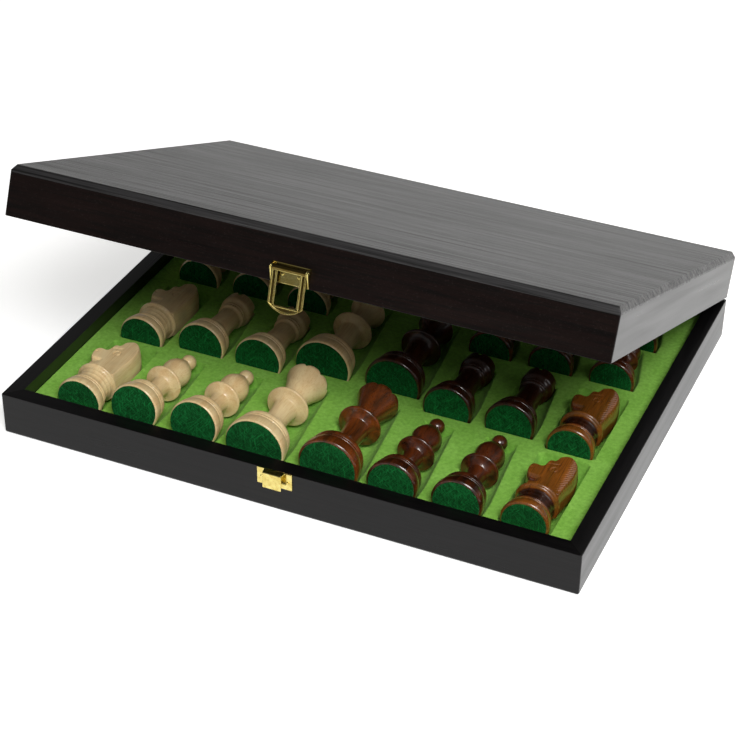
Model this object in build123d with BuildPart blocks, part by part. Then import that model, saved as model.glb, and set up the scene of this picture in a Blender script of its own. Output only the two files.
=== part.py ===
from build123d import *
import os
from dataclasses import dataclass
from math import atan2, cos, radians, sin

os.makedirs("parts", exist_ok=True)

# Chess box with a hinged lid, holding a full set of men in a flocked tray.
# Frame: +Z up, X along the long side, -Y towards the front with the latch.
# The origin is the centre of the underside. The lid rests part open.

# ---------------------------------------------------------------- case and lid
case_length = 400.0
case_depth = 314.0
base_height = 30.7
lid_height = 33.0
rail_thickness = 11.0
corner_round = 1.0
foot_round = 2.0
rim_round = 0.4
rim_gap = 0.3

bottom_panel_thickness = 4.0
bottom_rebate = 5.0
panel_clearance = 0.15

top_panel_thickness = 5.0
lid_chamfer_height = 3.7
lid_chamfer_width = 2.5

# ------------------------------------------------------------------ lid motion
lid_rest_angle = 22.5
lid_open_limit = 100.0
hinge_axis_behind = 2.8
hinge_inset = 70.0
leaf_length = 30.0
leaf_width = 9.5
leaf_thickness = 1.0
knuckle_radius = 2.4
knuckle_count = 5
knuckle_gap = 0.25
hinge_pin_radius = 1.0
hinge_pin_clearance = 0.06
heel_reach = 6.0
heel_thickness = 1.2
heel_clearance = 0.35
heel_backlash = 0.15
leaf_fit = 0.1

hinge_screw_spacing = 20.0
hinge_screw_inset = 5.0
hinge_screw_head_radius = 2.0
hinge_screw_shank_radius = 1.1
hinge_screw_length = 8.0
screw_fit = 0.05

# ----------------------------------------------------------------------- latch
latch_x = -1.1
latch_sheet = 0.8
latch_plate_width = 25.2
latch_plate_height = 12.2
latch_plate_lift = 0.2
latch_pivot_height = 9.7
latch_pivot_proud = 3.8
latch_pin_radius = 0.85
latch_pin_fit = 0.03
latch_ear_radius = 1.7
latch_nail_spacing = 11.0
latch_nail_height = 6.0

loop_rest_tilt = 5.0
loop_side_clearance = 0.3
loop_thickness = 1.4
loop_bar_width = 3.9
loop_straight = 22.5
loop_length = 27.5
loop_window_bottom = 23.2
loop_crossbar_drop = 1.8
loop_knuckle_radius = 1.7
loop_pin_clearance = 0.08
loop_corner_round = 0.8
loop_window_round = 0.5
loop_heel_width = 10.0
loop_heel_height = 1.2
loop_heel_gap = 0.25
loop_lip = 0.9
loop_channel_depth = 0.45

keeper_width = 24.0
keeper_height = 12.0
tongue_width = 12.7
tongue_root_width = 14.2
tongue_proud = 5.0
tongue_drop = 11.4
tongue_bend = 0.7
keeper_nail_spacing = 18.4
keeper_nail_drop = 7.0
nail_head_radius = 1.2
nail_head_height = 0.4
nail_shank_radius = 0.6
nail_length = 7.0

# ------------------------------------------------------------ tray and its men
tray_clearance = 0.4
tray_drop = 9.6
nest_clearance = 0.3
side_margin = 16.3
front_margin = 8.0
back_margin = 14.0
middle_gap = 11.2
knight_nest_side = 1.2
knight_nest_round = 4.0
finger_room_front = 12.0
finger_room_back = 8.0
felt_thickness = 0.8
felt_margins = {"light": 0.9, "dark": 1.6}
base_bevel = 0.8
band_step = 0.9
crease_depth = 0.35
ring_height = 1.4
collar_half = 1.3
crosswise_gap = 4.0


@dataclass
class Man:
    """Sizes of one kind of chessman, measured along its axis from the felt."""

    length: float
    base_radius: float
    band: float
    second_band: float
    shoulder: float
    waist_radius: float
    waist_height: float
    neck_radius: float
    collar_radius: float
    collar_height: float
    head_radius: float
    axis_lift: float


king = Man(95.0, 20.0, 8.8, 2.8, 5.2, 8.0, 30.0, 8.8, 14.5, 50.5, 12.5, 5.2)
queen = Man(87.0, 20.5, 8.8, 2.8, 5.2, 7.6, 30.0, 8.4, 14.8, 50.5, 14.2, 6.6)
bishop = Man(81.5, 16.9, 8.4, 2.6, 5.4, 6.2, 28.0, 6.8, 12.8, 41.0, 10.1, 6.1)
rook = Man(62.0, 17.2, 8.0, 2.6, 5.0, 9.2, 25.0, 8.0, 9.8, 46.5, 11.5, 4.5)
knight = Man(66.5, 16.0, 7.0, 2.2, 3.2, 12.0, 17.6, 12.6, 14.6, 24.6, 14.0, 2.8)
pawn = Man(48.0, 15.8, 6.2, 2.2, 3.8, 5.4, 21.0, 6.0, 10.0, 29.5, 8.2, 3.0)

# A man rests on its foot and its head, so that its axis leans down to the head.
# The two light bishops sit high on their feet.
rook_lean = 3.0
dark_bishop_lean = 3.0
light_bishop_lean = 7.5
light_bishop_lift = 11.2

ball_radius = 5.3
mitre_waist_radius = 6.2
mitre_slit = 1.2
coronet_notches = 8
coronet_notch_radius = 2.3
coronet_notch_depth = 3.5
cross_width = 9.0
cross_height = 11.0
cross_arm = 3.4
cross_thickness = 4.4
tower_rim = 3.4
tower_well = 4.0
tower_slots = 4
tower_slot_width = 3.0
tower_slot_depth = 3.0
knight_head_thickness = 19.0

# ---------------------------------------------------------------- worked sizes
inner_length = case_length - 2 * rail_thickness
inner_depth = case_depth - 2 * rail_thickness
tray_top = base_height - tray_drop
hinge_spacing = case_length - 2 * hinge_inset
hinge_axis_y = case_depth / 2 + hinge_axis_behind
hinge_axis_z = base_height + rim_gap / 2
front_y = -case_depth / 2

tilt_up = (0, sin(radians(lid_rest_angle)), cos(radians(lid_rest_angle)))
base_hinge = Plane(origin=(0, hinge_axis_y, hinge_axis_z), x_dir=(-1, 0, 0), z_dir=(0, 0, -1))
lid_hinge = Plane(origin=(0, hinge_axis_y, hinge_axis_z), x_dir=(1, 0, 0), z_dir=tilt_up)
lid_rim = Plane(
    origin=lid_hinge.from_local_coords((0, -hinge_axis_y, rim_gap / 2)),
    x_dir=lid_hinge.x_dir,
    z_dir=lid_hinge.z_dir,
)


def facing_front(frame, x, y, z):
    """Plane at a point of a frame that looks to the front, local Y up."""
    return Plane(frame.from_local_coords((x, y, z)), x_dir=frame.x_dir, z_dir=-frame.y_dir)


def facing_side(frame, x, y, z):
    """Plane at a point of a frame that looks along its X, local Y up."""
    return Plane(frame.from_local_coords((x, y, z)), x_dir=frame.y_dir, z_dir=frame.x_dir)


def facing_up(frame, x, y, z):
    """Plane parallel to a frame, moved to a point of it."""
    return Plane(frame.from_local_coords((x, y, z)), x_dir=frame.x_dir, z_dir=frame.z_dir)


base_front = facing_front(Plane.XY, latch_x, front_y, base_height)
lid_front = facing_front(lid_rim, latch_x, front_y, 0)


# ------------------------------------------------------- outlines of the case
with BuildPart() as base_envelope:
    with BuildSketch(Plane.XY):
        Rectangle(case_length, case_depth)
    extrude(amount=base_height)
    fillet(base_envelope.edges().filter_by(Axis.Z), corner_round)
    fillet(base_envelope.edges().group_by(Axis.Z)[0], foot_round)
    fillet(base_envelope.edges().group_by(Axis.Z)[-1], rim_round)

with BuildPart() as lid_envelope:
    with BuildSketch(lid_rim):
        RectangleRounded(case_length, case_depth, corner_round)
    extrude(amount=lid_height - lid_chamfer_height)
    fillet(lid_envelope.edges().group_by(Axis(lid_rim.origin, lid_rim.z_dir))[0], rim_round)
    with BuildSketch(lid_rim.offset(lid_height - lid_chamfer_height)):
        RectangleRounded(case_length, case_depth, corner_round)
    with BuildSketch(lid_rim.offset(lid_height)):
        RectangleRounded(
            case_length - 2 * lid_chamfer_width,
            case_depth - 2 * lid_chamfer_width,
            corner_round,
        )
    loft()

sides = [
    ("front", 0, case_length, case_depth),
    ("right", 90, case_depth, case_length),
    ("back", 180, case_length, case_depth),
    ("left", 270, case_depth, case_length),
]


def mitred_plan(length, across):
    """Corner points of a rail's plan, cut at 45 degrees at both ends."""
    outer = -across / 2
    inner = outer + rail_thickness
    half = length / 2
    return [(-half, outer), (half, outer), (half - rail_thickness, inner), (rail_thickness - half, inner)]


hinge_centres = [-hinge_spacing / 2, hinge_spacing / 2]
hinge_screw_shifts = [-hinge_screw_spacing / 2, hinge_screw_spacing / 2]
hinge_screw_y = -hinge_axis_behind - hinge_screw_inset
leaf_seat_y = -hinge_axis_behind - leaf_width / 2


# -------------------------------------------------------------------- the base
for side, turn, length, across in sides:
    with BuildPart() as base_rail:
        with BuildSketch(Plane(Rotation(0, 0, turn))):
            with BuildLine():
                Polyline(*mitred_plan(length, across), close=True)
            make_face()
        extrude(amount=base_height)
        add(base_envelope.part, mode=Mode.INTERSECT)
        with BuildSketch(Plane.XY):
            Rectangle(inner_length + 2 * bottom_rebate, inner_depth + 2 * bottom_rebate)
        extrude(amount=bottom_panel_thickness, mode=Mode.SUBTRACT)
        if side == "front":
            with BuildSketch(base_front):
                with Locations((0, -keeper_nail_drop)):
                    with GridLocations(keeper_nail_spacing, 0, 2, 1):
                        Circle(nail_shank_radius + screw_fit)
            extrude(amount=-nail_length, mode=Mode.SUBTRACT)
        if side == "back":
            for centre in hinge_centres:
                with BuildSketch(facing_up(base_hinge, centre, leaf_seat_y, rim_gap / 2)):
                    Rectangle(leaf_length + 2 * leaf_fit, leaf_width + 2 * leaf_fit)
                extrude(amount=leaf_thickness, mode=Mode.SUBTRACT)
                with BuildSketch(facing_up(base_hinge, centre, hinge_screw_y, rim_gap / 2)):
                    with GridLocations(hinge_screw_spacing, 0, 2, 1):
                        Circle(hinge_screw_shank_radius + screw_fit)
                extrude(amount=hinge_screw_length, mode=Mode.SUBTRACT)
    base_rail.part.label = f"base_{side}_rail"
    export_step(base_rail.part, f"parts/base_{side}_rail.step")

with BuildPart() as base_bottom_panel:
    with BuildSketch(Plane.XY):
        Rectangle(
            inner_length + 2 * (bottom_rebate - panel_clearance),
            inner_depth + 2 * (bottom_rebate - panel_clearance),
        )
    extrude(amount=bottom_panel_thickness)
base_bottom_panel.part.label = "base_bottom_panel"
export_step(base_bottom_panel.part, "parts/base_bottom_panel.step")


# --------------------------------------------------------------------- the lid
rail_height = lid_height - top_panel_thickness
for side, turn, length, across in sides:
    with BuildPart() as lid_rail:
        with BuildSketch(Plane(lid_rim.location * Rotation(0, 0, turn))):
            with BuildLine():
                Polyline(*mitred_plan(length, across), close=True)
            make_face()
        extrude(amount=rail_height)
        add(lid_envelope.part, mode=Mode.INTERSECT)
        if side == "front":
            with BuildSketch(lid_front):
                with Locations((0, latch_nail_height)):
                    with GridLocations(latch_nail_spacing, 0, 2, 1):
                        Circle(nail_shank_radius + screw_fit)
            extrude(amount=-nail_length, mode=Mode.SUBTRACT)
        if side == "back":
            for centre in hinge_centres:
                with BuildSketch(facing_up(lid_hinge, centre, leaf_seat_y, rim_gap / 2)):
                    Rectangle(leaf_length + 2 * leaf_fit, leaf_width + 2 * leaf_fit)
                extrude(amount=leaf_thickness, mode=Mode.SUBTRACT)
                with BuildSketch(facing_up(lid_hinge, centre, hinge_screw_y, rim_gap / 2)):
                    with GridLocations(hinge_screw_spacing, 0, 2, 1):
                        Circle(hinge_screw_shank_radius + screw_fit)
                extrude(amount=hinge_screw_length, mode=Mode.SUBTRACT)
    lid_rail.part.label = f"lid_{side}_rail"
    export_step(lid_rail.part, f"parts/lid_{side}_rail.step")

with BuildPart() as lid_top_panel:
    with BuildSketch(lid_rim.offset(rail_height)):
        Rectangle(case_length, case_depth)
    extrude(amount=top_panel_thickness)
    add(lid_envelope.part, mode=Mode.INTERSECT)
lid_top_panel.part.label = "lid_top_panel"
export_step(lid_top_panel.part, "parts/lid_top_panel.step")


# ------------------------------------------------------------------ the hinges
# Each leaf lies in its rim, and carries knuckles and a heel behind the pin.
# The two heels meet when the lid stands at its open limit.
knuckle_pitch = leaf_length / knuckle_count


def knuckle_starts(own):
    """X of the low end of every knuckle of one leaf, counted from its middle."""
    return [i * knuckle_pitch - leaf_length / 2 for i in range(own, knuckle_count, 2)]


def heel_plan(inner):
    """Corners of the heel's section from an inner radius outwards."""
    a = radians(lid_open_limit / 2)
    near, far = heel_backlash, heel_backlash + heel_thickness
    corners = [(inner, near), (heel_reach, near), (heel_reach, far), (inner, far)]
    return [(u * cos(a) - v * sin(a), u * sin(a) + v * cos(a)) for u, v in corners]


leaves = [("base", base_hinge, 0), ("lid", lid_hinge, 1)]
for owner, frame, own in leaves:
    for hand, centre in zip(("left", "right"), hinge_centres):
        middle = frame.to_local_coords(Vector(centre, hinge_axis_y, hinge_axis_z)).X
        with BuildPart() as leaf:
            with BuildSketch(facing_up(frame, middle, leaf_seat_y, rim_gap / 2)):
                Rectangle(leaf_length, leaf_width)
            extrude(amount=leaf_thickness)
            for start in knuckle_starts(own):
                with BuildSketch(facing_up(frame, middle + start + knuckle_pitch / 2,
                                           -hinge_axis_behind / 2, rim_gap / 2)):
                    Rectangle(knuckle_pitch - knuckle_gap, hinge_axis_behind)
                extrude(amount=leaf_thickness)
                with BuildSketch(facing_side(frame, middle + start + knuckle_gap / 2, 0, 0)):
                    Circle(knuckle_radius)
                    with BuildLine():
                        Polyline(*heel_plan(hinge_pin_radius), close=True)
                    make_face()
                extrude(amount=knuckle_pitch - knuckle_gap)
            with BuildSketch(facing_side(frame, middle - leaf_length / 2, 0, 0)):
                with BuildLine():
                    Polyline(*heel_plan(knuckle_radius + heel_clearance), close=True)
                make_face()
            extrude(amount=leaf_length)
            with BuildSketch(facing_side(frame, middle - leaf_length / 2, 0, 0)):
                Circle(hinge_pin_radius + hinge_pin_clearance)
            extrude(amount=leaf_length, mode=Mode.SUBTRACT)
            for shift in hinge_screw_shifts:
                seat = frame.from_local_coords((middle + shift, hinge_screw_y, rim_gap / 2))
                with Locations(Plane(seat, x_dir=frame.x_dir, z_dir=-frame.z_dir)):
                    CounterSinkHole(
                        hinge_screw_shank_radius + screw_fit,
                        hinge_screw_head_radius + screw_fit,
                        depth=leaf_thickness,
                    )
        leaf.part.label = f"hinge_{owner}_leaf_{hand}"
        export_step(leaf.part, f"parts/hinge_{owner}_leaf_{hand}.step")

    with BuildPart() as screws:
        for centre in hinge_centres:
            for shift in hinge_screw_shifts:
                head = facing_up(frame, centre + shift, hinge_screw_y, rim_gap / 2)
                with BuildSketch(head):
                    Circle(hinge_screw_head_radius)
                with BuildSketch(head.offset(hinge_screw_head_radius - hinge_screw_shank_radius)):
                    Circle(hinge_screw_shank_radius)
                loft()
                with BuildSketch(head):
                    Circle(hinge_screw_shank_radius)
                extrude(amount=hinge_screw_length)
    screws.part.label = f"hinge_{owner}_screws"
    export_step(screws.part, f"parts/hinge_{owner}_screws.step")

for hand, centre in zip(("left", "right"), hinge_centres):
    with BuildPart() as hinge_pin:
        with BuildSketch(facing_side(lid_hinge, centre - leaf_length / 2, 0, 0)):
            Circle(hinge_pin_radius)
        extrude(amount=leaf_length)
    hinge_pin.part.label = f"hinge_pin_{hand}"
    export_step(hinge_pin.part, f"parts/hinge_pin_{hand}.step")


# ------------------------------------------------------------------- the latch
# The keeper's tongue is folded out at the rim and turned down.
with BuildPart() as keeper_plate:
    with BuildSketch(base_front):
        with Locations((0, -keeper_height / 2)):
            Rectangle(keeper_width, keeper_height)
        with Locations((0, -keeper_nail_drop)):
            with GridLocations(keeper_nail_spacing, 0, 2, 1):
                Circle(nail_shank_radius + screw_fit, mode=Mode.SUBTRACT)
    extrude(amount=latch_sheet)
    with BuildSketch(facing_up(Plane.XY, latch_x, front_y, base_height)):
        with BuildLine():
            Polyline(
                (-tongue_root_width / 2, 0),
                (tongue_root_width / 2, 0),
                (tongue_width / 2, -tongue_proud),
                (-tongue_width / 2, -tongue_proud),
                close=True,
            )
        make_face()
    extrude(amount=-latch_sheet)
    with BuildSketch(base_front.offset(tongue_proud)):
        with Locations((0, -tongue_drop / 2)):
            Rectangle(tongue_width, tongue_drop)
    extrude(amount=-latch_sheet)
    outer_bend = keeper_plate.edges().filter_by(Axis.X).group_by(Axis.Y)[0].sort_by(Axis.Z)[-1]
    fillet(outer_bend, tongue_bend)
keeper_plate.part.label = "keeper_plate"
export_step(keeper_plate.part, "parts/keeper_plate.step")


def nail_outline():
    """Half outline of a domed nail, head up from the sheet's face."""
    shank = Polyline(
        (nail_head_radius, 0),
        (nail_shank_radius, 0),
        (nail_shank_radius, -nail_length),
        (0, -nail_length),
        (0, nail_head_height),
    )
    Spline(shank @ 1, shank @ 0, tangents=((1, 0), (0, -1)))


def nails(front_plane, spacing, height):
    """A pair of domed nails driven through a plate on a front plane."""
    with BuildPart() as pair:
        for x in (-spacing / 2, spacing / 2):
            seat = front_plane.from_local_coords((x, height, latch_sheet))
            section = Plane(seat, x_dir=front_plane.x_dir, z_dir=-front_plane.y_dir)
            with BuildSketch(section):
                with BuildLine():
                    nail_outline()
                make_face()
            revolve(axis=Axis(seat, front_plane.z_dir))
    return pair


keeper_nails = nails(base_front, keeper_nail_spacing, -keeper_nail_drop)
keeper_nails.part.label = "keeper_nails"
export_step(keeper_nails.part, "parts/keeper_nails.step")

latch_plate_nails = nails(lid_front, latch_nail_spacing, latch_nail_height)
latch_plate_nails.part.label = "latch_plate_nails"
export_step(latch_plate_nails.part, "parts/latch_plate_nails.step")

pivot = lid_front.from_local_coords((0, latch_pivot_height, latch_pivot_proud))
with BuildPart() as latch_plate:
    with BuildSketch(lid_front):
        with Locations((0, latch_plate_lift + latch_plate_height / 2)):
            Rectangle(latch_plate_width, latch_plate_height)
        with Locations((0, latch_nail_height)):
            with GridLocations(latch_nail_spacing, 0, 2, 1):
                Circle(nail_shank_radius + screw_fit, mode=Mode.SUBTRACT)
    extrude(amount=latch_sheet)
    for x in (-latch_plate_width / 2, latch_plate_width / 2 - latch_sheet):
        ear = Plane(lid_front.from_local_coords((x, 0, 0)), x_dir=lid_front.z_dir, z_dir=-lid_front.x_dir)
        with BuildSketch(ear):
            with Locations((latch_pivot_proud, latch_pivot_height)):
                Circle(latch_ear_radius)
            with Locations((latch_sheet / 2, latch_plate_lift + latch_plate_height / 2)):
                Rectangle(latch_sheet, latch_plate_height)
            make_hull()
            with Locations((latch_pivot_proud, latch_pivot_height)):
                Circle(latch_pin_radius + latch_pin_fit, mode=Mode.SUBTRACT)
        extrude(amount=-latch_sheet)
latch_plate.part.label = "latch_plate"
export_step(latch_plate.part, "parts/latch_plate.step")

pin_start = pivot - lid_front.x_dir * (latch_plate_width / 2)
with BuildPart() as latch_pin:
    with BuildSketch(Plane(pin_start, x_dir=lid_front.z_dir, z_dir=lid_front.x_dir)):
        Circle(latch_pin_radius)
    extrude(amount=latch_plate_width)
latch_pin.part.label = "latch_pin"
export_step(latch_pin.part, "parts/latch_pin.step")

# The loop hangs from the pin. Its heel meets the plate at the resting tilt.
loop_lean = radians(lid_rest_angle - loop_rest_tilt)
loop_face = Plane(pivot, x_dir=(1, 0, 0), z_dir=(0, -cos(loop_lean), sin(loop_lean)))
loop_half = latch_plate_width / 2 - latch_sheet - loop_side_clearance
window_half = loop_half - loop_bar_width
heel_drop = loop_heel_height + latch_pin_radius
heel_depth = (
    latch_pivot_proud - latch_sheet - loop_heel_gap - heel_drop * sin(radians(loop_rest_tilt))
) / cos(radians(loop_rest_tilt))


def loop_outline(half, straight, length):
    """Closed outline of the loop below its pin: straight sides and a shallow arc."""
    top = Polyline((-half, -straight), (-half, 0), (half, 0), (half, -straight))
    ThreePointArc(top @ 1, (0, -length), top @ 0)


with BuildPart() as latch_loop:
    with BuildSketch(loop_face.offset(-loop_thickness / 2)):
        with BuildLine():
            loop_outline(loop_half, loop_straight, loop_length)
        make_face()
    extrude(amount=loop_thickness)
    across_sheet = Axis(pivot, loop_face.z_dir)
    outer_corners = latch_loop.edges().filter_by(across_sheet).group_by(Axis(pivot, loop_face.y_dir))[0]
    fillet(outer_corners, loop_corner_round)
    with BuildSketch(loop_face.offset(-loop_thickness / 2)):
        with Locations((0, -(loop_crossbar_drop + loop_window_bottom) / 2)):
            RectangleRounded(2 * window_half, loop_window_bottom - loop_crossbar_drop, loop_window_round)
    extrude(amount=loop_thickness, mode=Mode.SUBTRACT)
    # The lips round the window and the rim stand proud of a channel.
    channel_top = loop_crossbar_drop - loop_lip
    with BuildSketch(loop_face.offset(loop_thickness / 2)):
        with BuildLine():
            loop_outline(loop_half - loop_lip, loop_straight, loop_length - loop_lip)
        make_face()
        with Locations((0, -channel_top / 2)):
            Rectangle(2 * loop_half, channel_top, mode=Mode.SUBTRACT)
        with Locations((0, -(channel_top + loop_window_bottom + loop_lip) / 2)):
            Rectangle(
                2 * (window_half + loop_lip),
                loop_window_bottom + loop_lip - channel_top,
                mode=Mode.SUBTRACT,
            )
    extrude(amount=-loop_channel_depth, mode=Mode.SUBTRACT)
    loop_end = Plane(pivot - loop_face.x_dir * loop_half, x_dir=loop_face.y_dir, z_dir=loop_face.x_dir)
    with BuildSketch(loop_end):
        Circle(loop_knuckle_radius)
    extrude(amount=2 * loop_half)
    heel_middle = loop_face.from_local_coords((0, loop_heel_height / 2 - heel_drop, 0))
    with BuildSketch(Plane(heel_middle, x_dir=loop_face.x_dir, z_dir=-loop_face.z_dir)):
        Rectangle(loop_heel_width, loop_heel_height)
    extrude(amount=heel_depth)
    with BuildSketch(loop_end):
        Circle(latch_pin_radius + loop_pin_clearance)
    extrude(amount=2 * loop_half, mode=Mode.SUBTRACT)
latch_loop.part.label = "latch_loop"
export_step(latch_loop.part, "parts/latch_loop.step")


# -------------------------------------------------------------- turned outlines
# A man's half outline runs in its own plane: X is the radius, Y the height.
def bead(start, end, swell):
    """Arc that swells outwards on the way up a turned outline."""
    return SagittaArc(start, end, -swell)


def cove(start, end, hollow):
    """Arc that hollows inwards on the way up a turned outline."""
    return SagittaArc(start, end, hollow)


def dome(start, top):
    """Arc centred on the axis, from a point up to the axis at a height."""
    rise = top - start.Y
    radius = (start.X**2 + rise**2) / (2 * rise)
    halfway = atan2(start.X, radius - rise) / 2
    middle = (radius * sin(halfway), top - radius + radius * cos(halfway))
    return ThreePointArc(start, middle, (0, top))


def draw_foot(man):
    """Felt seat, three bands, waist and collar, up to the collar's top."""
    r = man.base_radius
    z = felt_thickness
    seat = Line((0, z), (r - base_bevel, z))
    bevel = Line(seat @ 1, (r, z + base_bevel))
    band_top = z + man.band
    band = bead(bevel @ 1, (r - band_step - crease_depth, band_top), base_bevel / 2)
    second_top = band_top + man.second_band
    second = bead(band @ 1, (r - 2 * band_step - crease_depth, second_top), base_bevel / 2)
    crease = Line(second @ 1, (r - 2 * band_step - 2 * crease_depth, second_top))
    shoulder = bead(crease @ 1, (r - 4 * band_step, second_top + man.shoulder), base_bevel)
    hollow = (r - man.waist_radius) / 6
    waist = cove(shoulder @ 1, (man.waist_radius, man.waist_height), hollow)
    under = man.collar_height - collar_half
    neck = cove(waist @ 1, (man.neck_radius, under - 2 * collar_half), base_bevel / 2)
    flare = cove(neck @ 1, (man.collar_radius - collar_half, under), base_bevel / 2)
    return bead(flare @ 1, (man.collar_radius - collar_half, man.collar_height + collar_half), collar_half)


def close_outline(last, man):
    """Axis line from the man's top back to its felt seat."""
    Line(last @ 1, (0, felt_thickness))


def draw_pawn(man):
    """Collar and a round head."""
    collar = draw_foot(man)
    centre = man.length - man.head_radius
    neck_drop = (man.head_radius**2 - man.neck_radius**2) ** 0.5
    neck = Line(collar @ 1, (man.neck_radius, centre - neck_drop))
    head = dome(neck @ 1, man.length)
    close_outline(head, man)


def draw_bishop(man):
    """Small ring, mitre and ball."""
    collar = draw_foot(man)
    h = man.collar_height + collar_half
    slope = Line(collar @ 1, (mitre_waist_radius + 2.4, h + 0.8))
    ring = bead(slope @ 1, (mitre_waist_radius + 2.0, h + 0.8 + ring_height), base_bevel / 2)
    upper = bead(ring @ 1, (mitre_waist_radius + 1.4, h + 0.8 + 2 * ring_height), base_bevel / 2)
    dip = Line(upper @ 1, (mitre_waist_radius + 0.6, h + 4.4))
    shoulder_h = man.length - 2 * ball_radius
    mitre = Spline(
        dip @ 1,
        (man.head_radius, h + 15.5),
        (man.head_radius * 0.72, shoulder_h - 4.5),
        (ball_radius * 0.6, shoulder_h + ball_radius * 0.2),
    )
    ball = dome(mitre @ 1, man.length)
    close_outline(ball, man)


def draw_queen(man):
    """Ring, flared cup and the dome inside the coronet."""
    collar = draw_foot(man)
    h = man.collar_height + collar_half
    slope = Line(collar @ 1, (man.neck_radius + 1.6, h + 1.0))
    ring = bead(slope @ 1, (man.neck_radius + 1.2, h + 3.8), base_bevel)
    dip = Line(ring @ 1, (man.neck_radius - 1.2, h + 5.0))
    rim = man.length - 4.5
    cup = Spline(
        dip @ 1,
        (man.neck_radius + 0.6, h + 10.0),
        (man.head_radius - 1.4, rim - 12.0),
        (man.head_radius, rim - 4.6),
    )
    lip = bead(cup @ 1, (man.head_radius - 1.2, rim), base_bevel)
    dish = cove(lip @ 1, (man.head_radius / 2, rim - 0.8), -base_bevel)
    cap = dome(dish @ 1, man.length)
    close_outline(cap, man)


def draw_king(man):
    """Ring, flared cup and a dome that carries the cross."""
    collar = draw_foot(man)
    h = man.collar_height + collar_half
    slope = Line(collar @ 1, (man.neck_radius + 1.6, h + 1.0))
    ring = bead(slope @ 1, (man.neck_radius + 1.2, h + 3.8), base_bevel)
    dip = Line(ring @ 1, (man.neck_radius - 1.0, h + 5.0))
    top = man.length - cross_height
    cup = cove(dip @ 1, (man.head_radius, top - 8.0), 2.0)
    lip = bead(cup @ 1, (man.head_radius - 1.2, top - 5.0), base_bevel)
    cap = dome(lip @ 1, top + 0.5)
    close_outline(cap, man)


def draw_rook(man):
    """Two rings and a tower with a well in its top."""
    collar = draw_foot(man)
    h = man.collar_height + collar_half
    dip = Line(collar @ 1, (man.neck_radius + 0.8, h + 0.4))
    ring = bead(dip @ 1, (man.neck_radius + 0.8, h + 0.4 + ring_height), base_bevel)
    flare = cove(ring @ 1, (man.head_radius - 0.6, h + 4.8), base_bevel / 2)
    lip = Line(flare @ 1, (man.head_radius, h + 5.8))
    wall = Line(lip @ 1, (man.head_radius - 0.3, man.length))
    rim = Line(wall @ 1, (man.head_radius - tower_rim, man.length))
    well = Line(rim @ 1, (man.head_radius - tower_rim, man.length - tower_well))
    floor = Line(well @ 1, (0, man.length - tower_well))
    close_outline(floor, man)


def draw_knight(man):
    """The turned foot of a knight, up to the flat seat of its head."""
    collar = draw_foot(man)
    top = Line(collar @ 1, (0, man.collar_height + collar_half))
    close_outline(top, man)


def knight_head_outline(man):
    """Side outline of the horse's head, muzzle towards the plane's -X."""
    foot = man.collar_height
    top = man.length
    chest = Line((-0.68 * man.head_radius, foot), (-0.62 * man.head_radius, foot + 5.7))
    jaw = Spline(chest @ 1, (-10.7, top - 31.5), (-11.4, top - 26.2))
    muzzle = Spline(jaw @ 1, (-11.8, top - 21.0), (-10.2, top - 16.8))
    chin = Spline(muzzle @ 1, (-7.3, top - 17.8), (-4.6, top - 18.5))
    nose = Spline(chin @ 1, (-2.7, top - 16.0), (-2.5, top - 12.8), (-1.4, top - 9.2))
    brow = Spline(nose @ 1, (0.6, top - 8.6), (3.3, top - 9.4))
    front_ear = Spline(brow @ 1, (4.3, top - 7.5), (4.1, top - 4.7), (4.7, top - 2.3))
    poll = ThreePointArc(front_ear @ 1, (7.4, top), (10.3, top - 2.3))
    crest = Spline(poll @ 1, (15.2, top - 8.6), (16.2, top - 18.0), (15.6, foot + 14.0))
    back = Line(crest @ 1, (man.head_radius - 0.4, foot))
    Line(back @ 1, chest @ 0)


outlines = {
    "king": (king, draw_king),
    "queen": (queen, draw_queen),
    "bishop": (bishop, draw_bishop),
    "rook": (rook, draw_rook),
    "knight": (knight, draw_knight),
    "pawn": (pawn, draw_pawn),
}


# ------------------------------------------------------------ places in the tray
# Four columns for each colour, bases to the front. The pawns behind a king lie
# crosswise, because the king is too long to leave room for two in line.
front_start = -inner_depth / 2 + front_margin
back_end = inner_depth / 2 - back_margin
knight_column = inner_length / 2 - side_margin - knight.base_radius - knight_nest_side
royal_column = middle_gap / 2 + king.base_radius
column_step = (knight_column - royal_column) / 3
knight_shares = (0.07, 0.41, 0.44, 0.08)
officer_shares = (0.0, 0.34, 0.555, 0.105)
royal_shares = (0.0, 0.75, 0.25)


def stack(lengths, shares):
    """Base positions down a column, with the spare length shared as gaps before each man."""
    spare = back_end - front_start - sum(lengths)
    starts = []
    reached = front_start
    for length, share in zip(lengths, shares):
        starts.append(reached + spare * share)
        reached = starts[-1] + length
    return starts


knight_starts = stack([knight.length, knight.length, pawn.length, pawn.length], knight_shares)
officer_starts = stack([bishop.length, rook.length, pawn.length, pawn.length], officer_shares)
crosswise_room = 4 * pawn.base_radius + crosswise_gap
royal_starts = stack([queen.length, king.length, crosswise_room], royal_shares)


@dataclass
class Place:
    """A named man, its kind, and the plane that it lies in."""

    name: str
    kind: str
    plane: Plane


def lying(kind, x, y, towards=(0, 1, 0), lift=None, lean=0):
    """Plane through a lying man's axis: origin at its felt, Y towards its head and leaning down."""
    height = tray_top + (outlines[kind][0].axis_lift if lift is None else lift)
    right = Vector(towards).cross(Vector(0, 0, 1))
    level = Plane((x, y, height), x_dir=right, z_dir=(0, 0, 1))
    return Plane(level.location * Rotation(-lean, 0, 0))


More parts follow.
